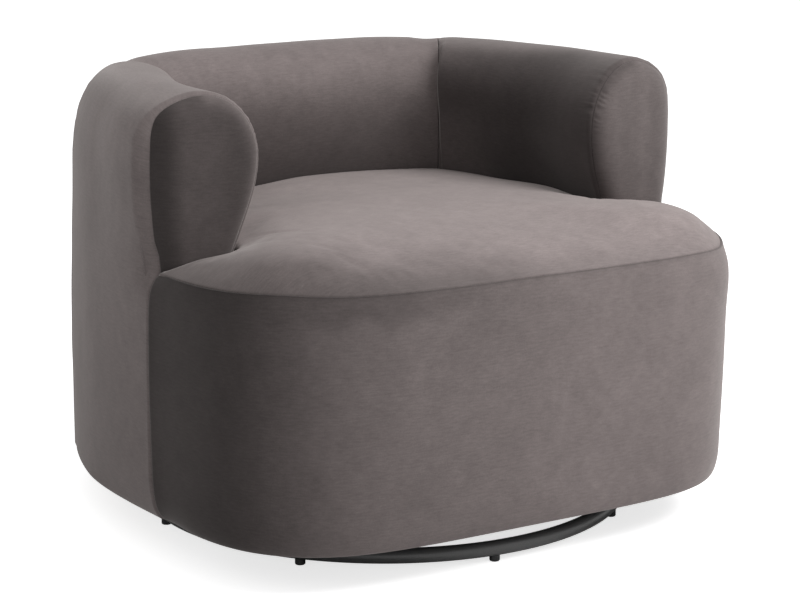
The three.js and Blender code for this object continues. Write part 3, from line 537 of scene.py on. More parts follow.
def makeBorder():
    # the section carried along the seat's outline, with a pad behind it up to the deck
    at, *plan = borderLine(border["count"])
    x, y, nx, ny = (line[:, None] for line in plan)
    out, z = (np.tile(line, (len(at), 1)) for line in borderOutline())
    nOut, nZ = lineNormals(out, z)
    fromEnd = np.minimum(at, at[-1] - at)[:, None]
    along = lengthUp(out, z)
    wave = ripple(at[:, None], along, border["waveLengths"], 51) * smoothStep(*border["waveFrom"], z)
    wave = wave * smoothStep(form["seam"], form["seam"] - border["waveTop"], z)
    lift = border["waveDepth"] * wave
    back = roll(fromEnd, border["endRoll"], border["endTurn"] * degree)
    corner = frontCorner(x, y)
    back = back + mix(border["shape"], x, z=z, corner=corner, fromEnd=fromEnd, tuck=tuckShape(z),
                      waist=waistShape(z, border["waistFall"]), nearEnd=np.exp(-fromEnd / form["waistReach"]))
    back = back + border["cornerIn"] * corner * smoothStep(border["cornerInFrom"], form["seam"], z) ** 2
    shift = cornerLift(x, corner) * smoothStep(border["liftFrom"], form["seam"], z)
    faceOut, faceZ = out + nOut * lift - back, z + nZ * lift + shift
    lineOut, lineZ = faceOut - nOut * form["clothThick"], faceZ - nZ * form["clothThick"]
    low = int(np.argmax(z[0] > wall["footOfPad"])) + 2
    padTop = form["deck"] - border["foamGap"]
    high = int(np.argmax(z[0] > padTop))
    lineOut[:, low:high] = -border["foam"]
    lineZ[:, low:high] = np.linspace(wall["footOfPad"], padTop, high - low)

    def place(o, h):
        return np.stack([x + nx * o, y + ny * o, h], -1)

    return makeShell("borderCover", at[:, None], along, place(faceOut, faceZ), place(lineOut, lineZ),
                     borderLightAndShade(at[:, None], z))


borderCover = makeBorder()
print("front border made")


# pads that fill an outline: seat and arm facings

def edgeDistance(points, line, closed=True):  # shortest distance from each point to a line of short straights
    ends = np.roll(line, -1, 0) if closed else line[1:]
    starts = line if closed else line[:-1]
    run = ends - starts
    size = (run ** 2).sum(1) + 1e-15
    best = np.full(len(points), 1e9)
    for part in np.array_split(np.arange(len(points)), max(1, len(points) // 2000)):
        rel = points[part, None] - starts[None]
        t = np.clip((rel * run).sum(-1) / size, 0, 1)
        best[part] = np.sqrt(((rel - t[..., None] * run) ** 2).sum(-1).min(1))
    return best


def insideOutline(points, line):  # even-odd count of the outline's crossings to the right of each point
    x, y = points[:, 0][:, None], points[:, 1][:, None]
    ax, ay = line[:, 0], line[:, 1]
    bx, by = np.roll(ax, -1), np.roll(ay, -1)
    crosses = (ay > y) != (by > y)
    at = ax + (y - ay) * (bx - ax) / np.where(by == ay, 1e-12, by - ay)
    return (crosses & (x < at)).sum(1) % 2 == 1


def netOver(line, step, ratio, shift):  # rows of points over an outline's box, every other row shifted
    low, high = line.min(0), line.max(0)
    gx, gy = np.meshgrid(np.arange(low[0], high[0], step), np.arange(low[1], high[1], step * ratio))
    gx = gx + (np.arange(gx.shape[0]) % 2)[:, None] * shift
    net = np.stack([gx.ravel(), gy.ravel()], 1)
    return net[insideOutline(net, line)]


def triangulate(outlines, loose):  # triangles over points, with every closed outline kept as edges
    edges = []
    start = 0
    for line in outlines:
        count = len(line)
        edges += [(start + k, start + (k + 1) % count) for k in range(count)]
        start += count
    corners = [Vector(p) for p in np.concatenate([*outlines, loose]).tolist()]
    verts, _, faces, _, _, _ = delaunay_2d_cdt(corners, edges, [], 1, 1e-7, False)
    return np.array([v[:] for v in verts]), np.array(faces)


# how a pad is filled: its rows' spacing and how far apart points are kept, as shares, and its flat underside
pad = {"rowRatio": 0.866, "apart": 0.6, "rowApart": 0.97, "underStep": 0.03, "underRow": 0.01}


def fillOutline(line, step, depths):
    # triangles over an outline, from its own points, rows set in by the given depths, and a triangular net
    normals = outlineNormals(line)
    net = netOver(line, step, pad["rowRatio"], step / 2)
    net = net[edgeDistance(net, line) > depths[-1] + pad["apart"] * step]
    kept = []
    for depth in depths:
        row = line - normals * depth
        apart = edgeDistance(row, line) > pad["rowApart"] * depth
        kept.append(row[insideOutline(row, line) & apart])
    flat, faces = triangulate([line], np.concatenate([*kept, net]))
    return flat, faces[insideOutline(flat[faces].mean(1), line)]


def outlineNormals(line):  # unit vectors to the outside of a closed outline that runs anticlockwise
    step = np.roll(line, -1, 0) - np.roll(line, 1, 0)
    return np.stack([step[:, 1], -step[:, 0]], 1) / (np.linalg.norm(step, axis=1)[:, None] + 1e-12)


def padMesh(name, line, step, depths, heightOf, sides, place, lightAndShadeOf):
    # a top over the outline, side rows given as an inset and the height of each of their points, and a flat
    # bottom; the last side row is level
    flat, faces = fillOutline(line, step, depths)
    count = len(line)
    normals = outlineNormals(line)
    rows = [np.column_stack([flat, heightOf(flat)])]
    for inset, height in sides:
        rows.append(np.column_stack([line - normals * inset, np.broadcast_to(height, count)]))
    points = np.concatenate(rows)
    starts = [0] + [len(flat) + count * k for k in range(len(sides))]
    ring = np.arange(count)
    onward = (ring + 1) % count
    quads = [np.stack([a + ring, b + ring, b + onward, a + onward], -1) for a, b in zip(starts, starts[1:])]
    under = line - normals * sides[-1][0]
    bottomFlat, bottomFaces = fillOutline(under, pad["underStep"], (pad["underRow"],))
    bottom = np.column_stack([bottomFlat, np.full(len(bottomFlat), points[-1, 2])])
    extra = bottom[count:]
    remap = np.concatenate([starts[-1] + ring, len(points) + np.arange(len(extra))])
    points = np.concatenate([points, extra])
    solid = [faces, np.concatenate(quads), remap[bottomFaces][:, ::-1]]
    placed = place(points)
    return makePiece(name, placed, solid, points[:, :2], lightAndShadeOf(placed))


seat = {
    "crown": 0.055, "fullness": 3.8, "wingFullness": 1.3, "wingFrom": (0.2, 0.45), "cornerFullness": 10.0,
    "rimInset": 0.006, "cornerShare": 1.6, "seamInset": 0.0064, "rimRoll": 0.0024, "wallEdge": 0.004,
    "wallRoll": 0.012, "wallHeight": 0.497, "frontHeight": 0.488, "frontRows": 42, "frontGap": 0.0012,
    "liftFrom": 0.8, "wallGap": 0.003, "cornerGap": 0.004,
    "step": 0.0085, "wallStep": 0.007, "count": 190, "waveDepth": 0.0008, "waveLengths": (0.15, 0.21, 0.33),
    "rightAt": 0.33, "rightPower": 2.5, "dimple": 0.012, "dimpleReach": 0.052,
    "creaseAt": (-0.285, -0.075), "creaseWay": (0.58, 0.815), "creaseSize": (0.055, 0.020),
    # rows set in from the edge, and the side rows below it as inset and drop
    "edgeRows": (0.0006, 0.0016, 0.003, 0.005, 0.008, 0.012, 0.017), "foamGap": 0.0006,
    "sideRows": ((0.0008, 0.0012), (0.003, 0.0024), (0.0052, 0.003)),
    # the cloth simulation: how far from a seam it is held and free, its cap and its settings
    "held": (0.004, 0.05), "heldDepth": 0.0005, "cap": 0.005, "frames": 20,
    "cloth": {"vertex_group_mass": "held", "use_pressure": True, "uniform_pressure_force": 4.0,
              "shrink_min": -0.012, "bending_stiffness": 0.3, "quality": 6},
    "shape": [  # how much higher the top lies, as rows for mix
        (-0.0125, ("x", 0.02, -0.14), ("y", -0.05, 0.22)),  # it sags towards the back, most on the left
        (-0.0055, ("x", 0.34, 0.18), ("y", -0.05, 0.22)),
        (-0.008, "right", ("y", -0.05, 0.15)),  # and again far to the right
        (-0.006, ("aside", 0.35, 0.06, "bell"), ("y", -0.09, 0.08, "bell")),  # it dips beside the arms
        (-0.003, "crease"),
    ],
    # its painted shade at the edge is ragged, and wider at the left
    "ragged": 0.016, "raggedLengths": (0.045, 0.08, 0.15), "raggedFrom": (0.01, 0.05),
    "edgeReach": 0.05, "edgeWider": 0.065, "widerTo": (0.15, -0.35), "edgePower": 1.6,
    # painted light and shade: the top drawn lighter where light falls from above and a little lighter to the
    # right, painted shade in the crease by the left arm
    "tone": [
        (1.87,), (0.06, ("x", 0.1, 0.4)), (-0.38, "crease"),
        (-1.10, "edge"), (0.70, "edge", ("x", -0.3, 0.2)),  # painted shade where it rolls off, most at the left
        (-0.62, ("x", -0.02, -0.34), ("y", -0.16, 0.12)),  # painted shade in the left back corner
    ],
}
facing = {
    "crown": 0.019, "fullness": 3.4, "reach": 0.055, "foot": 0.452, "step": 0.006, "gap": 0.0020,
    "edge": 0.0003, "underEdge": 0.0002, "pleatSide": (0.02, -0.03), "pleatStart": 0.003,
    "count": 320, "edgeRows": (0.0005, 0.0012, 0.002, 0.003, 0.004, 0.006, 0.009),
    "boardInset": 0.0035, "boardBack": 0.0026, "board": 0.018, "boardFoot": 0.105, "boardStep": 0.03,
    "boardEdge": 0.004, "innerReach": 0.013, "slant": 0.25, "slantAt": 0.35, "pleatLean": 0.5,
    # painted light and shade: the left one is drawn dark, most of all at its outer edge, with a darker patch
    # over its upper inner half and painted light along its upper inner edge, which rolls towards the light;
    # the right one is lighter towards the top, with faint streaks and painted shade along its inner edge
    "leftLitAndShaded": [(0.58,), (-0.28, ("x", 0.445, 0.485)), (0.42, "inner", ("z", 0.50, 0.58)),
                 (-0.12, ("slant", 0.535, 0.575), ("x", 0.42, 0.36))],
    "rightLitAndShaded": [(0.77,), (0.13, ("z", 0.55, 0.7)), (0.06, ("x", 0.43, 0.012, "bell")),
                  (-0.05, ("x", 0.46, 0.014, "bell")), (-0.30, "inner")],
}


def facingRise(distance):
    # how far a facing stands out at a distance from its edge: crown * (1 - (1 - d / reach)^n), less the dip
    share = np.clip(distance / facing["reach"], 0, 1)
    return facing["crown"] * (1 - (1 - share) ** facing["fullness"]) - seamDip(distance)


def armSection(side, inset):  # the arm's section at its front end, set in by the roll and by an inset
    out, z = wallOutline(np.array([armRun]), side)
    nOut, nZ = lineNormals(out, z)
    depth = frontSink(0, nOut, z, side) + inset
    return np.stack([(out - nOut * depth)[0], (z - nZ * depth)[0]], 1)


def armFrontOutline(side):  # the facing's outline, from its foot up and over the arm and down to its foot
    section = armSection(side, facing["edge"])
    above = np.flatnonzero(section[:, 1] > facing["foot"])
    line = resample(section[above[0]:above[-1] + 1], facing["count"])
    return np.concatenate([[[line[0, 0], facing["foot"]]], line, [[line[-1, 0], facing["foot"]]]])


armFronts = {side: armFrontOutline(side) for side in (-1, 1)}
armEndX = form["halfWidth"] - halfWall


def seatLightAndShade(points):  # painted light and shade: light on top, where the light falls from above; painted shade at its edge by exp(-(distance / reach)^power)
    x, y = points[:, 0], points[:, 1]
    distance = edgeDistance(points[:, :2], seatRim, False)
    ragged = seat["ragged"] * ripple(x, y, seat["raggedLengths"], 83)
    distance = np.maximum(0, distance + ragged * smoothStep(*seat["raggedFrom"], distance))
    reach = seat["edgeReach"] + seat["edgeWider"] * smoothStep(*seat["widerTo"], x)
    edge = np.exp(-(distance / reach) ** seat["edgePower"])
    return even * mix(seat["tone"], x=x, y=y, crease=seatCrease(x, y), edge=edge)


def seatCrease(x, y):  # 1 along the hollow that runs into the seat from the left arm's inner front corner
    (fromX, fromY), (wayX, wayY), (length, width) = seat["creaseAt"], seat["creaseWay"], seat["creaseSize"]
    along = (x - fromX) * wayX + (y - fromY) * wayY
    across = (x - fromX) * wayY - (y - fromY) * wayX
    return np.exp(-(along / length) ** 2 - (across / width) ** 2)


armCorners = {}  # where the seat passes each arm's inner front corner, set with the outline


def seatOutline():
    # anticlockwise: the border line set in to the seam, the arm's front edge, the walls' inner line, and back
    rim = borderInset(seat["count"], seat["seamInset"], border["cornerIn"])
    halves = {}
    for side, armFront in armFronts.items():
        half = len(armFront) // 2
        outerEdge = np.interp(seat["frontHeight"], armFront[:half, 1], armFront[:half, 0])
        innerEdge = np.interp(seat["frontHeight"], armFront[:half:-1, 1], armFront[:half:-1, 0])
        out = np.linspace(outerEdge, innerEdge, seat["frontRows"])[1:-1]
        rise = facingRise(np.minimum(outerEdge - out, out - innerEdge)) + seat["frontGap"]
        front = np.stack([armEndX + out, form["armEndY"] + out * form["frontTilt"] - rise], 1)
        runs = np.arange(armRun - seat["wallGap"], 0, -seat["wallStep"])
        sectionOut, sectionZ = wallOutline(runs, side)
        away = np.where(sectionOut > 0, np.inf, np.abs(sectionZ - seat["wallHeight"]))
        inner = np.argmin(away, 1)
        wallOut = sectionOut[np.arange(len(runs)), inner][:, None] - seat["wallEdge"]
        inner = wallPoints(runs, 1, wallOut, 0)[:, 0, :2]
        halves[side] = np.concatenate([front, inner])
        armCorners[side] = front[-1] * [side, 1]
    rim = rim[rim[:, 1] < halves[1][0, 1] - seat["cornerGap"]]
    return np.concatenate([rim, halves[1], halves[-1][::-1] * [-1, 1]]), len(rim)


def seatTop(points):
    # a crowned top: crown * (1 - share^fullness), share being how near the outline a point lies; the edge
    # rolls down beside the walls and at the seam
    n, a, b = outline
    x, y = points[:, 0], points[:, 1]
    corner = frontCorner(x, y)
    inset = seat["rimInset"]
    share = (np.abs(x / (a - inset)) ** n + np.abs((y - centreY) / (b - inset)) ** n) ** (1 / n)
    share = np.clip(share * (1 + seat["cornerShare"] * border["cornerIn"] * corner), 0, 1)
    fullness = seat["fullness"] + seat["wingFullness"] * smoothStep(*seat["wingFrom"], np.abs(x))
    fullness = fullness + seat["cornerFullness"] * corner
    height = form["seam"] + seat["crown"] * (1 - share ** fullness)
    height = height + cornerLift(x, corner) * smoothStep(seat["liftFrom"], 1, share)
    height = height + mix(seat["shape"], x=x, y=y, aside=np.abs(x), crease=seatCrease(x, y),
                          right=np.clip(x / seat["rightAt"], 0, 1) ** seat["rightPower"])
    for cornerX, cornerY in armCorners.values():
        away = np.hypot(x - cornerX, y - cornerY)
        height = height - seat["dimple"] * np.exp(-(away / seat["dimpleReach"]) ** 2)
    height = height + seat["waveDepth"] * ripple(x, y, seat["waveLengths"], 71)
    rimDistance, wallDistance = edgeDistance(points, seatRim, False), edgeDistance(points, seatWall, False)
    return height - curl(rimDistance, seat["rimRoll"]) - curl(wallDistance, seat["wallRoll"])


def coordinates(mesh):  # the mesh's points as rows of x, y and z
    values = np.empty(len(mesh.vertices) * 3)
    mesh.vertices.foreach_get("co", values)
    return values.reshape(-1, 3)


def pressOut(piece, held):
    # Blender's cloth, blown out from inside with its held points pinned; no point moves further than the cap
    mesh, scene = piece.data, bpy.context.scene
    start = coordinates(mesh)
    group = piece.vertex_groups.new(name="held")
    for level in np.unique(np.round(held, 1)):
        group.add(np.flatnonzero(np.round(held, 1) == level).tolist(), float(level), "REPLACE")
    cloth = piece.modifiers.new("cloth", "CLOTH")
    for key, value in seat["cloth"].items():
        setattr(cloth.settings, key, value)
    cloth.settings.effector_weights.gravity = 0
    cloth.collision_settings.use_collision = False
    cloth.point_cache.frame_start, cloth.point_cache.frame_end = 1, seat["frames"]
    for frameNumber in range(1, seat["frames"] + 1):
        scene.frame_set(frameNumber)
    shaped = piece.evaluated_get(bpy.context.evaluated_depsgraph_get())
    move = coordinates(shaped.data) - start
    size = np.linalg.norm(move, axis=1)[:, None]
    move = move * seat["cap"] / (seat["cap"] + size) * (1 - held[:, None])
    piece.modifiers.remove(cloth)
    piece.vertex_groups.remove(group)
    scene.frame_set(1)
    mesh.vertices.foreach_set("co", (start + move).ravel())
    mesh.update()
    furthest = float(np.linalg.norm(move, axis=1).max())
    print(piece.name, "pressed out by up to", round(furthest * 1000, 1), "mm")


seatLine, rimCount = seatOutline()
seatRim, seatWall = seatLine[:rimCount], seatLine[rimCount:]
seatSides = []
for sideInset, drop in seat["sideRows"]:
    seatSides.append((sideInset, seatTop(seatLine) - drop))
seatSides.append((seat["sideRows"][-1][0], form["deck"] + seat["foamGap"]))
seatCover = padMesh("seatCushion", seatLine, seat["step"], seat["edgeRows"], seatTop, seatSides,
                    lambda p: p, seatLightAndShade)


def heldSeat():  # the seat is held at its seams and underside, and free in the middle of its top
    points = coordinates(seatCover.data)
    free = smoothStep(*seat["held"], edgeDistance(points[:, :2], seatLine))
    return 1 - free * (points[:, 2] > seatTop(points[:, :2]) - seat["heldDepth"])


pressOut(seatCover, heldSeat())
print("seat made")


def facingLightAndShade(side):  # painted light and shade on the facings
    tone = facing["rightLitAndShaded" if side > 0 else "leftLitAndShaded"]

    def nap(points):
        x, z = points[:, 0] * side, points[:, 2]
        innerLine = armFronts[side][facing["count"] // 2:-1]
        fromInner = edgeDistance(np.stack([x - armEndX, z], 1), innerLine, False)
        inner = np.exp(-(fromInner / facing["innerReach"]) ** 2)
        slant = z + facing["slant"] * (x - facing["slantAt"])
        return even * mix(tone, x=x, z=z, slant=slant, inner=inner)

    return nap


def endPlane(side, back):  # places a pad's points in the arm's slanted end plane, moved back a little
    def place(points):
        out, z, forward = points.T
        y = form["armEndY"] + out * form["frontTilt"] + back - forward
        return np.stack([side * (armEndX + out), y, z], 1)
    return place


def makeFacing(name, side):  # the arm's front outline, crowned towards the front
    soft = armFronts[side][1:-1]

    def rise(points):
        distance = edgeDistance(points, soft, False)
        pleats = pleatWave(points[:, 1] + facing["pleatLean"] * distance, -1)
        pleats = pleats * smoothStep(*facing["pleatSide"], points[:, 0])
        pleats = pleats * smoothStep(0, facing["pleatStart"], distance)
        pleats = pleats * np.exp(-distance / wall["pleatReach"])
        return facingRise(distance) + ofSide("pleatDepth", side) * pleats

    under = ((facing["edge"], -form["seamDip"] - facing["underEdge"]),)
    return padMesh(name, armFronts[side], facing["step"], facing["edgeRows"], rise, under,
                   endPlane(side, -facing["gap"]), facingLightAndShade(side))


def makeArmBoard(name, side):  # the board that carries the facing, cut to the arm's section behind the roll
    line = armSection(side, facing["boardInset"])
    top, foot = int(np.argmax(line[:, 1])), facing["boardFoot"]
    outerSide = line[:top][line[:top, 1] > foot + facing["boardEdge"]]
    innerSide = line[top:][line[top:, 1] > form["seam"]]
    line = np.concatenate([[[outerSide[0, 0], foot]], outerSide, innerSide, [[innerSide[-1, 0], foot]]])
    return padMesh(name, line, facing["boardStep"], (facing["boardEdge"],), lambda p: np.zeros(len(p)),
                   ((0.0, -facing["board"]),), endPlane(side, facing["boardBack"]),
                   lambda p: np.full(len(p), even))


leftBoard = makeArmBoard("leftArmBoard", -1)
rightBoard = makeArmBoard("rightArmBoard", 1)
leftFacing = makeFacing("leftArmFacing", -1)
rightFacing = makeFacing("rightArmFacing", 1)
print("facings made")


# materials

def linear(text):  # an sRGB hex colour as linear values
    s = np.array([int(text[k:k + 2], 16) / 255 for k in (1, 3, 5)])
    return (*np.where(s <= 0.04045, s / 12.92, ((s + 0.055) / 1.055) ** 2.4).tolist(), 1.0)


def addNode(tree, kind, settings=None, out=0, **links):
    # one node with its settings, giving back one of its outputs; a link's name is the input's, with _ for a
    # space, or i and its number, and its value is a socket or a number
    node = tree.nodes.new("ShaderNode" + kind)
    for key, value in (settings or {}).items():
        setattr(node, key, value)
    for key, value in links.items():
        numbered = key[0] == "i" and key[1:].isdigit()
        socket = node.inputs[int(key[1:]) if numbered else key.replace("_", " ")]
        if isinstance(value, bpy.types.NodeSocket):
            tree.links.new(value, socket)
        else:
            socket.default_value = value
    return node.outputs[out] if len(node.outputs) else None


def newMaterial(name):  # an empty material, and addNode for its tree
    material = bpy.data.materials.new(name)
    material.use_nodes = True
    material.node_tree.nodes.clear()
    return material, partial(addNode, material.node_tree)


velvetLook = {
    "pile": "#6a6261", "roughness": 0.95, "gloss": 0.1, "ribScale": (60.0, 300.0, 1.0),
    "bump": (0.25, 0.0006), "sheen": 0.45, "sheenRoughness": 0.4, "sheenTint": "#e6e0dd",
    "patterns": {  # how deep each is and its noise: patches of 160 mm, mottles of 30 mm and specks of 2 mm
        "patches": (0.22, {"Scale": 6.0, "Detail": 5.0, "Roughness": 0.6, "Distortion": 0.5}),
        "mottles": (0.16, {"Scale": 34.0, "Detail": 3.0, "Roughness": 0.6}),
        "ribs": (0.24, {"Scale": 1.0, "Detail": 3.0, "Roughness": 0.6}),
        "specks": (0.14, {"Scale": 420.0, "Detail": 2.0}),
    },
}


def cutVelvet():
    # cut-pile polyester velvet: the pile is drawn lighter or darker by the attribute of painted light and
    # shade (0.5 is its own colour), hands turn it in patches, and the backing gives a fine cross-wise rib,
    # drawn coarser than life
    material, add = newMaterial("cut velvet")
    where = add("TexCoord", out="Object")
    stretched = add("Mapping", Vector=add("UVMap", {"uv_map": "cloth"}), Scale=velvetLook["ribScale"])
    # the painted light and shade: 0.5 where none is painted
    nap = add("Attribute", {"attribute_name": "nap"}, "Fac")
    factor = add("Math", {"operation": "MULTIPLY"}, i0=nap, i1=1 / even)
    patterns = {}
    for name, (depth, noise) in velvetLook["patterns"].items():
        # each pattern runs about 0.5, so it is moved to run about 1 before it scales the pile's lightness
        patterns[name] = add("TexNoise", Vector=stretched if name == "ribs" else where, **noise)
        lift = add("Math", {"operation": "MULTIPLY_ADD"}, i0=patterns[name], i1=depth * 2, i2=1 - depth)
        factor = add("Math", {"operation": "MULTIPLY"}, i0=factor, i1=lift)
    pile = add("VectorMath", {"operation": "SCALE"}, i0=linear(velvetLook["pile"])[:3], Scale=factor)
    strength, height = velvetLook["bump"]
    bump = add("Bump", Strength=strength, Distance=height, Height=patterns["ribs"])
    shader = add("BsdfPrincipled", Base_Color=pile, Roughness=velvetLook["roughness"], Normal=bump,
                 Specular_IOR_Level=velvetLook["gloss"], Sheen_Weight=velvetLook["sheen"],
                 Sheen_Roughness=velvetLook["sheenRoughness"], Sheen_Tint=linear(velvetLook["sheenTint"]))
    add("OutputMaterial", Surface=shader)
    return material


def plainNoise(name, low, high, scale, roughness, metallic=0.0, stretch=(1, 1, 1), detail=4.0,
               bump=(0.3, 0.0003)):
    # a material clouded by noise between two colours, with a bump of a strength and a depth
    material, add = newMaterial(name)
    mapped = add("Mapping", Vector=add("TexCoord", out="Object"), Scale=stretch)
    grain = add("TexNoise", Vector=mapped, Scale=scale, Detail=detail)
    color = add("ValToRGB", Fac=grain)
    for element, at, tone in zip(color.node.color_ramp.elements, (0.3, 0.7), (low, high)):
        element.position, element.color = at, linear(tone)
    rough = add("Bump", Strength=bump[0], Distance=bump[1], Height=grain)
    shader = add("BsdfPrincipled", Base_Color=color, Roughness=roughness, Metallic=metallic, Normal=rough)
    add("OutputMaterial", Surface=shader)
    return material


velvet = cutVelvet()
# steel tube with a semi-gloss black powder coat, which has a faint orange peel
blackSteel = plainNoise("black powder coat", "#434343", "#515151", 900.0, 0.38, detail=2.0,
                        bump=(0.12, 0.0002))
footPlastic = plainNoise("moulded polyamide", "#141415", "#202122", 700.0, 0.5)  # glass-filled feet, matte
zincPlate = plainNoise("zinc-plated steel", "#a4a8ab", "#bfc3c6", 60.0, 0.32, 1.0)  # bright, faintly clouded
plywood = plainNoise("birch plywood", "#b08a5c", "#cda877", 14.0, 0.7, 0.0, (1, 9, 30))  # sanded, unfinished
webCloth = plainNoise("rubber webbing", "#1d1d20", "#34343a", 500.0, 0.9)
dustCloth = plainNoise("spun-bonded cloth", "#131315", "#222226", 350.0, 0.95)
print("materials made")


# the ring base

ring = {"radius": 0.405, "tube": 0.0125, "height": 0.0211, "around": 320, "across": 28}


def makeRing():  # a torus: a circle of the tube's radius carried round the ring
    a, b = np.meshgrid(np.linspace(0, 2 * np.pi, ring["around"], endpoint=False),
                       np.linspace(0, 2 * np.pi, ring["across"], endpoint=False), indexing="ij")
    reach = ring["radius"] + ring["tube"] * np.cos(b)
    points = np.stack([reach * np.sin(a), -reach * np.cos(a), ring["height"] + ring["tube"] * np.sin(b)], -1)
    index = np.arange(a.size).reshape(a.shape)
    onward, up = np.roll(index, -1, 0), np.roll(index, -1, 1)
    faces = np.stack([index, onward, np.roll(onward, -1, 1), up], -1).reshape(-1, 4)
    uv = np.stack([a * ring["radius"], b * ring["tube"]], -1).reshape(-1, 2)
    return makePiece("ringTube", points.reshape(-1, 3), [faces], uv, np.full(a.size, even))


ringTube = makeRing()


# the dust cover under the seat

dust = {
    "hem": 0.0483, "holeHalf": 0.1703, "holePoints": 12, "step": 0.03, "gap": 0.0001, "thick": 0.0006,
    "sag": 0.0016, "span": 0.2, "crease": 0.0004, "creaseFrom": 0.03, "creaseLengths": (0.05, 0.09, 0.14),
    "count": 90, "wallGap": 0.002, "wallStep": 0.02, "cornerGap": 0.004, "apart": 0.6,
}


def makeDustCover():
    # a cut of cloth stapled round its edge and round the square riser: it hangs by sag * sin(pi d / span) at
    # a distance d from the nearer edge, up to half way, and is a little creased
    front = borderInset(dust["count"], dust["hem"])
    runs = np.arange(armRun - dust["wallGap"], 0, -dust["wallStep"])
    inner = wallPoints(runs, 1, np.full((len(runs), 1), halfWall - dust["hem"]), 0)[:, 0, :2]
    front = front[front[:, 1] < inner[0, 1] - dust["cornerGap"]]
    line = np.concatenate([front, inner, inner[::-1] * [-1, 1]])
    half, along = dust["holeHalf"], np.linspace(-1, 1, dust["holePoints"] + 1)[:-1]
    ones = np.ones(dust["holePoints"])
    sides = ((along, -ones), (ones, along), (-along, ones), (-ones, -along))
    hole = half * np.concatenate([np.stack(ends, 1) for ends in sides])
    net = netOver(line, dust["step"], 1, 0)
    apart = dust["apart"] * dust["step"]
    net = net[(np.abs(net).max(1) > half + apart) & (edgeDistance(net, line) > apart)]
    flat, faces = triangulate([line, hole], net)
    centre = flat[faces].mean(1)
    faces = faces[insideOutline(centre, line) & (np.abs(centre).max(1) > half)]
    toEdge = np.minimum(edgeDistance(flat, line), edgeDistance(flat, hole))
    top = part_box("dust_cover")[1][2] - dust["gap"]
    z = top - dust["sag"] * np.sin(np.pi * np.clip(toEdge / dust["span"], 0, 0.5))
    crease = 1 + ripple(flat[:, 0], flat[:, 1], dust["creaseLengths"], 61)
    z = z - dust["crease"] * crease * smoothStep(0, dust["creaseFrom"], toEdge)
    rims = []
    for start, size, inwards in ((0, len(line), False), (len(line), len(hole), True)):
        a = start + np.arange(size)
        b = start + (np.arange(size) + 1) % size
        if inwards:
            a, b = b, a
        rims.append(np.stack([a, a + len(flat), b + len(flat), b], 1))
    points = np.concatenate([np.column_stack([flat, z]), np.column_stack([flat, z - dust["thick"]])])
    solid = [faces, faces[:, ::-1] + len(flat), np.concatenate(rims)]
    nextLine = np.roll(line, -1, 0)
    area = 0.5 * float(np.sum(line[:, 0] * nextLine[:, 1] - nextLine[:, 0] * line[:, 1])) - (2 * half) ** 2
    piece = makePiece("dustCover", points, solid, points[:, :2], np.full(len(points), even))
    return piece, (line.max(0) - line.min(0)).tolist(), area


dustCover, dustFlat, dustArea = makeDustCover()
print("dust cover made")


# how the pieces ride, and what they stand for

pieces = [  # piece, material, slot, body, and the CAD nodes that it stands for
    (backCover, velvet, "cover", "seat", "back_cover", "back_foam"),
    (leftArm, velvet, "cover", "seat", "left_arm_cover", "left_arm_foam"),
    (rightArm, velvet, "cover", "seat", "right_arm_cover", "right_arm_foam"),
    (borderCover, velvet, "cover", "seat", "border_cover", "border_foam"),
    (seatCover, velvet, "cover", "seat", "seat_cover", "seat_foam"),
    (leftFacing, velvet, "cover", "seat", "left_arm_facing"),
    (rightFacing, velvet, "cover", "seat", "right_arm_facing"),
    (leftBoard, plywood, "timber", "seat", "left_arm_front_board"),
    (rightBoard, plywood, "timber", "seat", "right_arm_front_board"),
    (ringTube, blackSteel, "ring_base", "base", "base_ring"),
    (dustCover, dustCloth, "dust_cloth", "seat", "dust_cover"),
]
for piece, look, slot, body, *stands in pieces:
    piece.data.materials.append(look)
    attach(piece, body)
    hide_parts(*stands)

slotLooks = {"ring_base": blackSteel, "feet": footPlastic, "bearing": zincPlate, "timber": plywood,
             "webbing": webCloth, "dust_cloth": dustCloth, "cover": velvet, "foam": plywood}
for part in frame["record"]["subparts"]:
    node = cadNodes[part["node"]]
    node.data.materials.clear()
    node.data.materials.append(slotLooks[part["material_slot"]])
print("pieces placed on their bodies")


# camera, floor and light

view = {  # the camera that took the photo, as worked out from the ring
    "eye": (-2.07433, -3.36949, 1.22841),
    "right": (0.84987, -0.52699, 0.0), "up": (0.11241, 0.18129, 0.97698),
    "focal": 106.35, "sensor": 36.0, "shiftX": 0.00986, "shiftY": -0.01452, "far": 100,
}
light = {
    "sky": 0.52, "keySize": 2.6, "keyPower": 125, "keyAt": (1.6, -2.2, 3.4),
    "fillSize": 3.0, "fillPower": 10, "fillAt": (-3.2, -1.0, 2.2), "aim": (0, 0, 0.35),
    "floor": "#f4f4f4", "floorGlow": 0.72, "floorReach": 30.0,
}

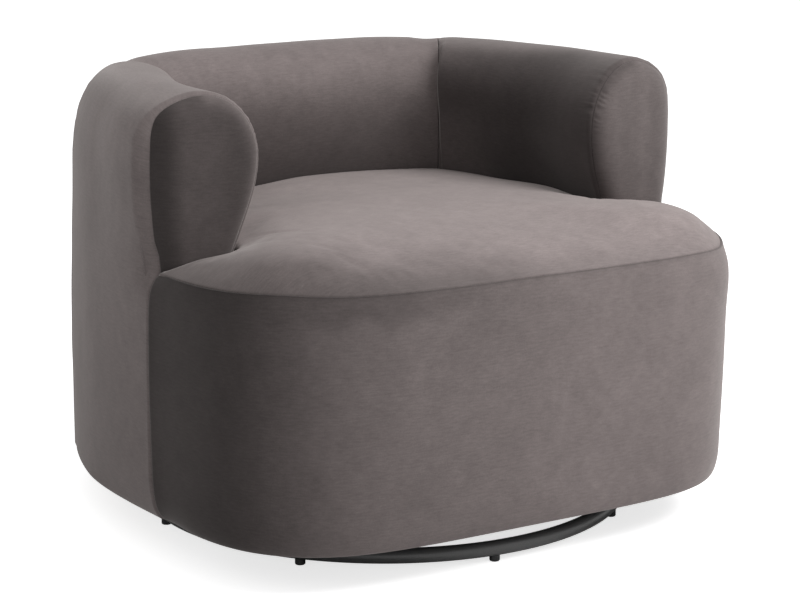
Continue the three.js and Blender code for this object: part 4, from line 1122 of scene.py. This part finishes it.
camera = bpy.data.objects.new("camera", bpy.data.cameras.new("camera"))
bpy.context.scene.collection.objects.link(camera)
rightWay, upWay = Vector(view["right"]).normalized(), Vector(view["up"]).normalized()
backWay = rightWay.cross(upWay)
upWay = backWay.cross(rightWay)
turned = Matrix((rightWay, upWay, backWay)).transposed().to_4x4()
camera.matrix_world = Matrix.Translation(Vector(view["eye"])) @ turned
camera.data.lens, camera.data.sensor_width = view["focal"], view["sensor"]
camera.data.shift_x, camera.data.shift_y = view["shiftX"], view["shiftY"]
camera.data.clip_end = view["far"]
bpy.context.scene.camera = camera


def areaLight(name):
    at = Vector(light[name + "At"])
    data = bpy.data.lights.new(name, "AREA")
    data.shape, data.size, data.energy = "DISK", light[name + "Size"], light[name + "Power"]
    lamp = bpy.data.objects.new(name, data)
    lamp.location = at
    lamp.rotation_euler = (Vector(light["aim"]) - at).to_track_quat("-Z", "Y").to_euler()
    bpy.context.scene.collection.objects.link(lamp)


areaLight("key")
areaLight("fill")

# the sky is plain white to the camera, in mirrors and through glass, and dimmer as a light
world = bpy.data.worlds.new("studio")
bpy.context.scene.world = world
world.use_nodes = True
world.node_tree.nodes.clear()
add = partial(addNode, world.node_tree)
path = add("LightPath").node.outputs
straight = add("Math", {"operation": "MAXIMUM"}, i0=path["Is Camera Ray"], i1=path["Is Glossy Ray"])
seenWhite = add("Math", {"operation": "MAXIMUM"}, i0=straight, i1=path["Is Transmission Ray"])
soft = add("Background", Color=(1, 1, 1, 1), Strength=light["sky"])
white = add("Background", Color=(1, 1, 1, 1), Strength=1.0)
add("OutputWorld", Surface=add("MixShader", i0=seenWhite, i1=soft, i2=white))

# a matte pale floor, lifted to white for the camera so that only the shadow shows
floorMesh = bpy.data.meshes.new("floor")
reach = light["floorReach"]
corners = [(-reach, -reach, 0), (reach, -reach, 0), (reach, reach, 0), (-reach, reach, 0)]
floorMesh.from_pydata(corners, [], [(0, 1, 2, 3)])
floor = bpy.data.objects.new("floor", floorMesh)
bpy.context.scene.collection.objects.link(floor)
floorLook, add = newMaterial("pale floor")
matte = add("BsdfDiffuse", Color=linear(light["floor"]))
glow = add("Emission", Color=(1, 1, 1, 1), Strength=light["floorGlow"])
lit = add("AddShader", i0=matte, i1=glow)
seen = add("LightPath", out="Is Camera Ray")
add("OutputMaterial", Surface=add("MixShader", i0=seen, i1=matte, i2=lit))
floorMesh.materials.append(floorLook)
bpy.context.scene.view_settings.view_transform = "Standard"
print("camera, floor and light made")
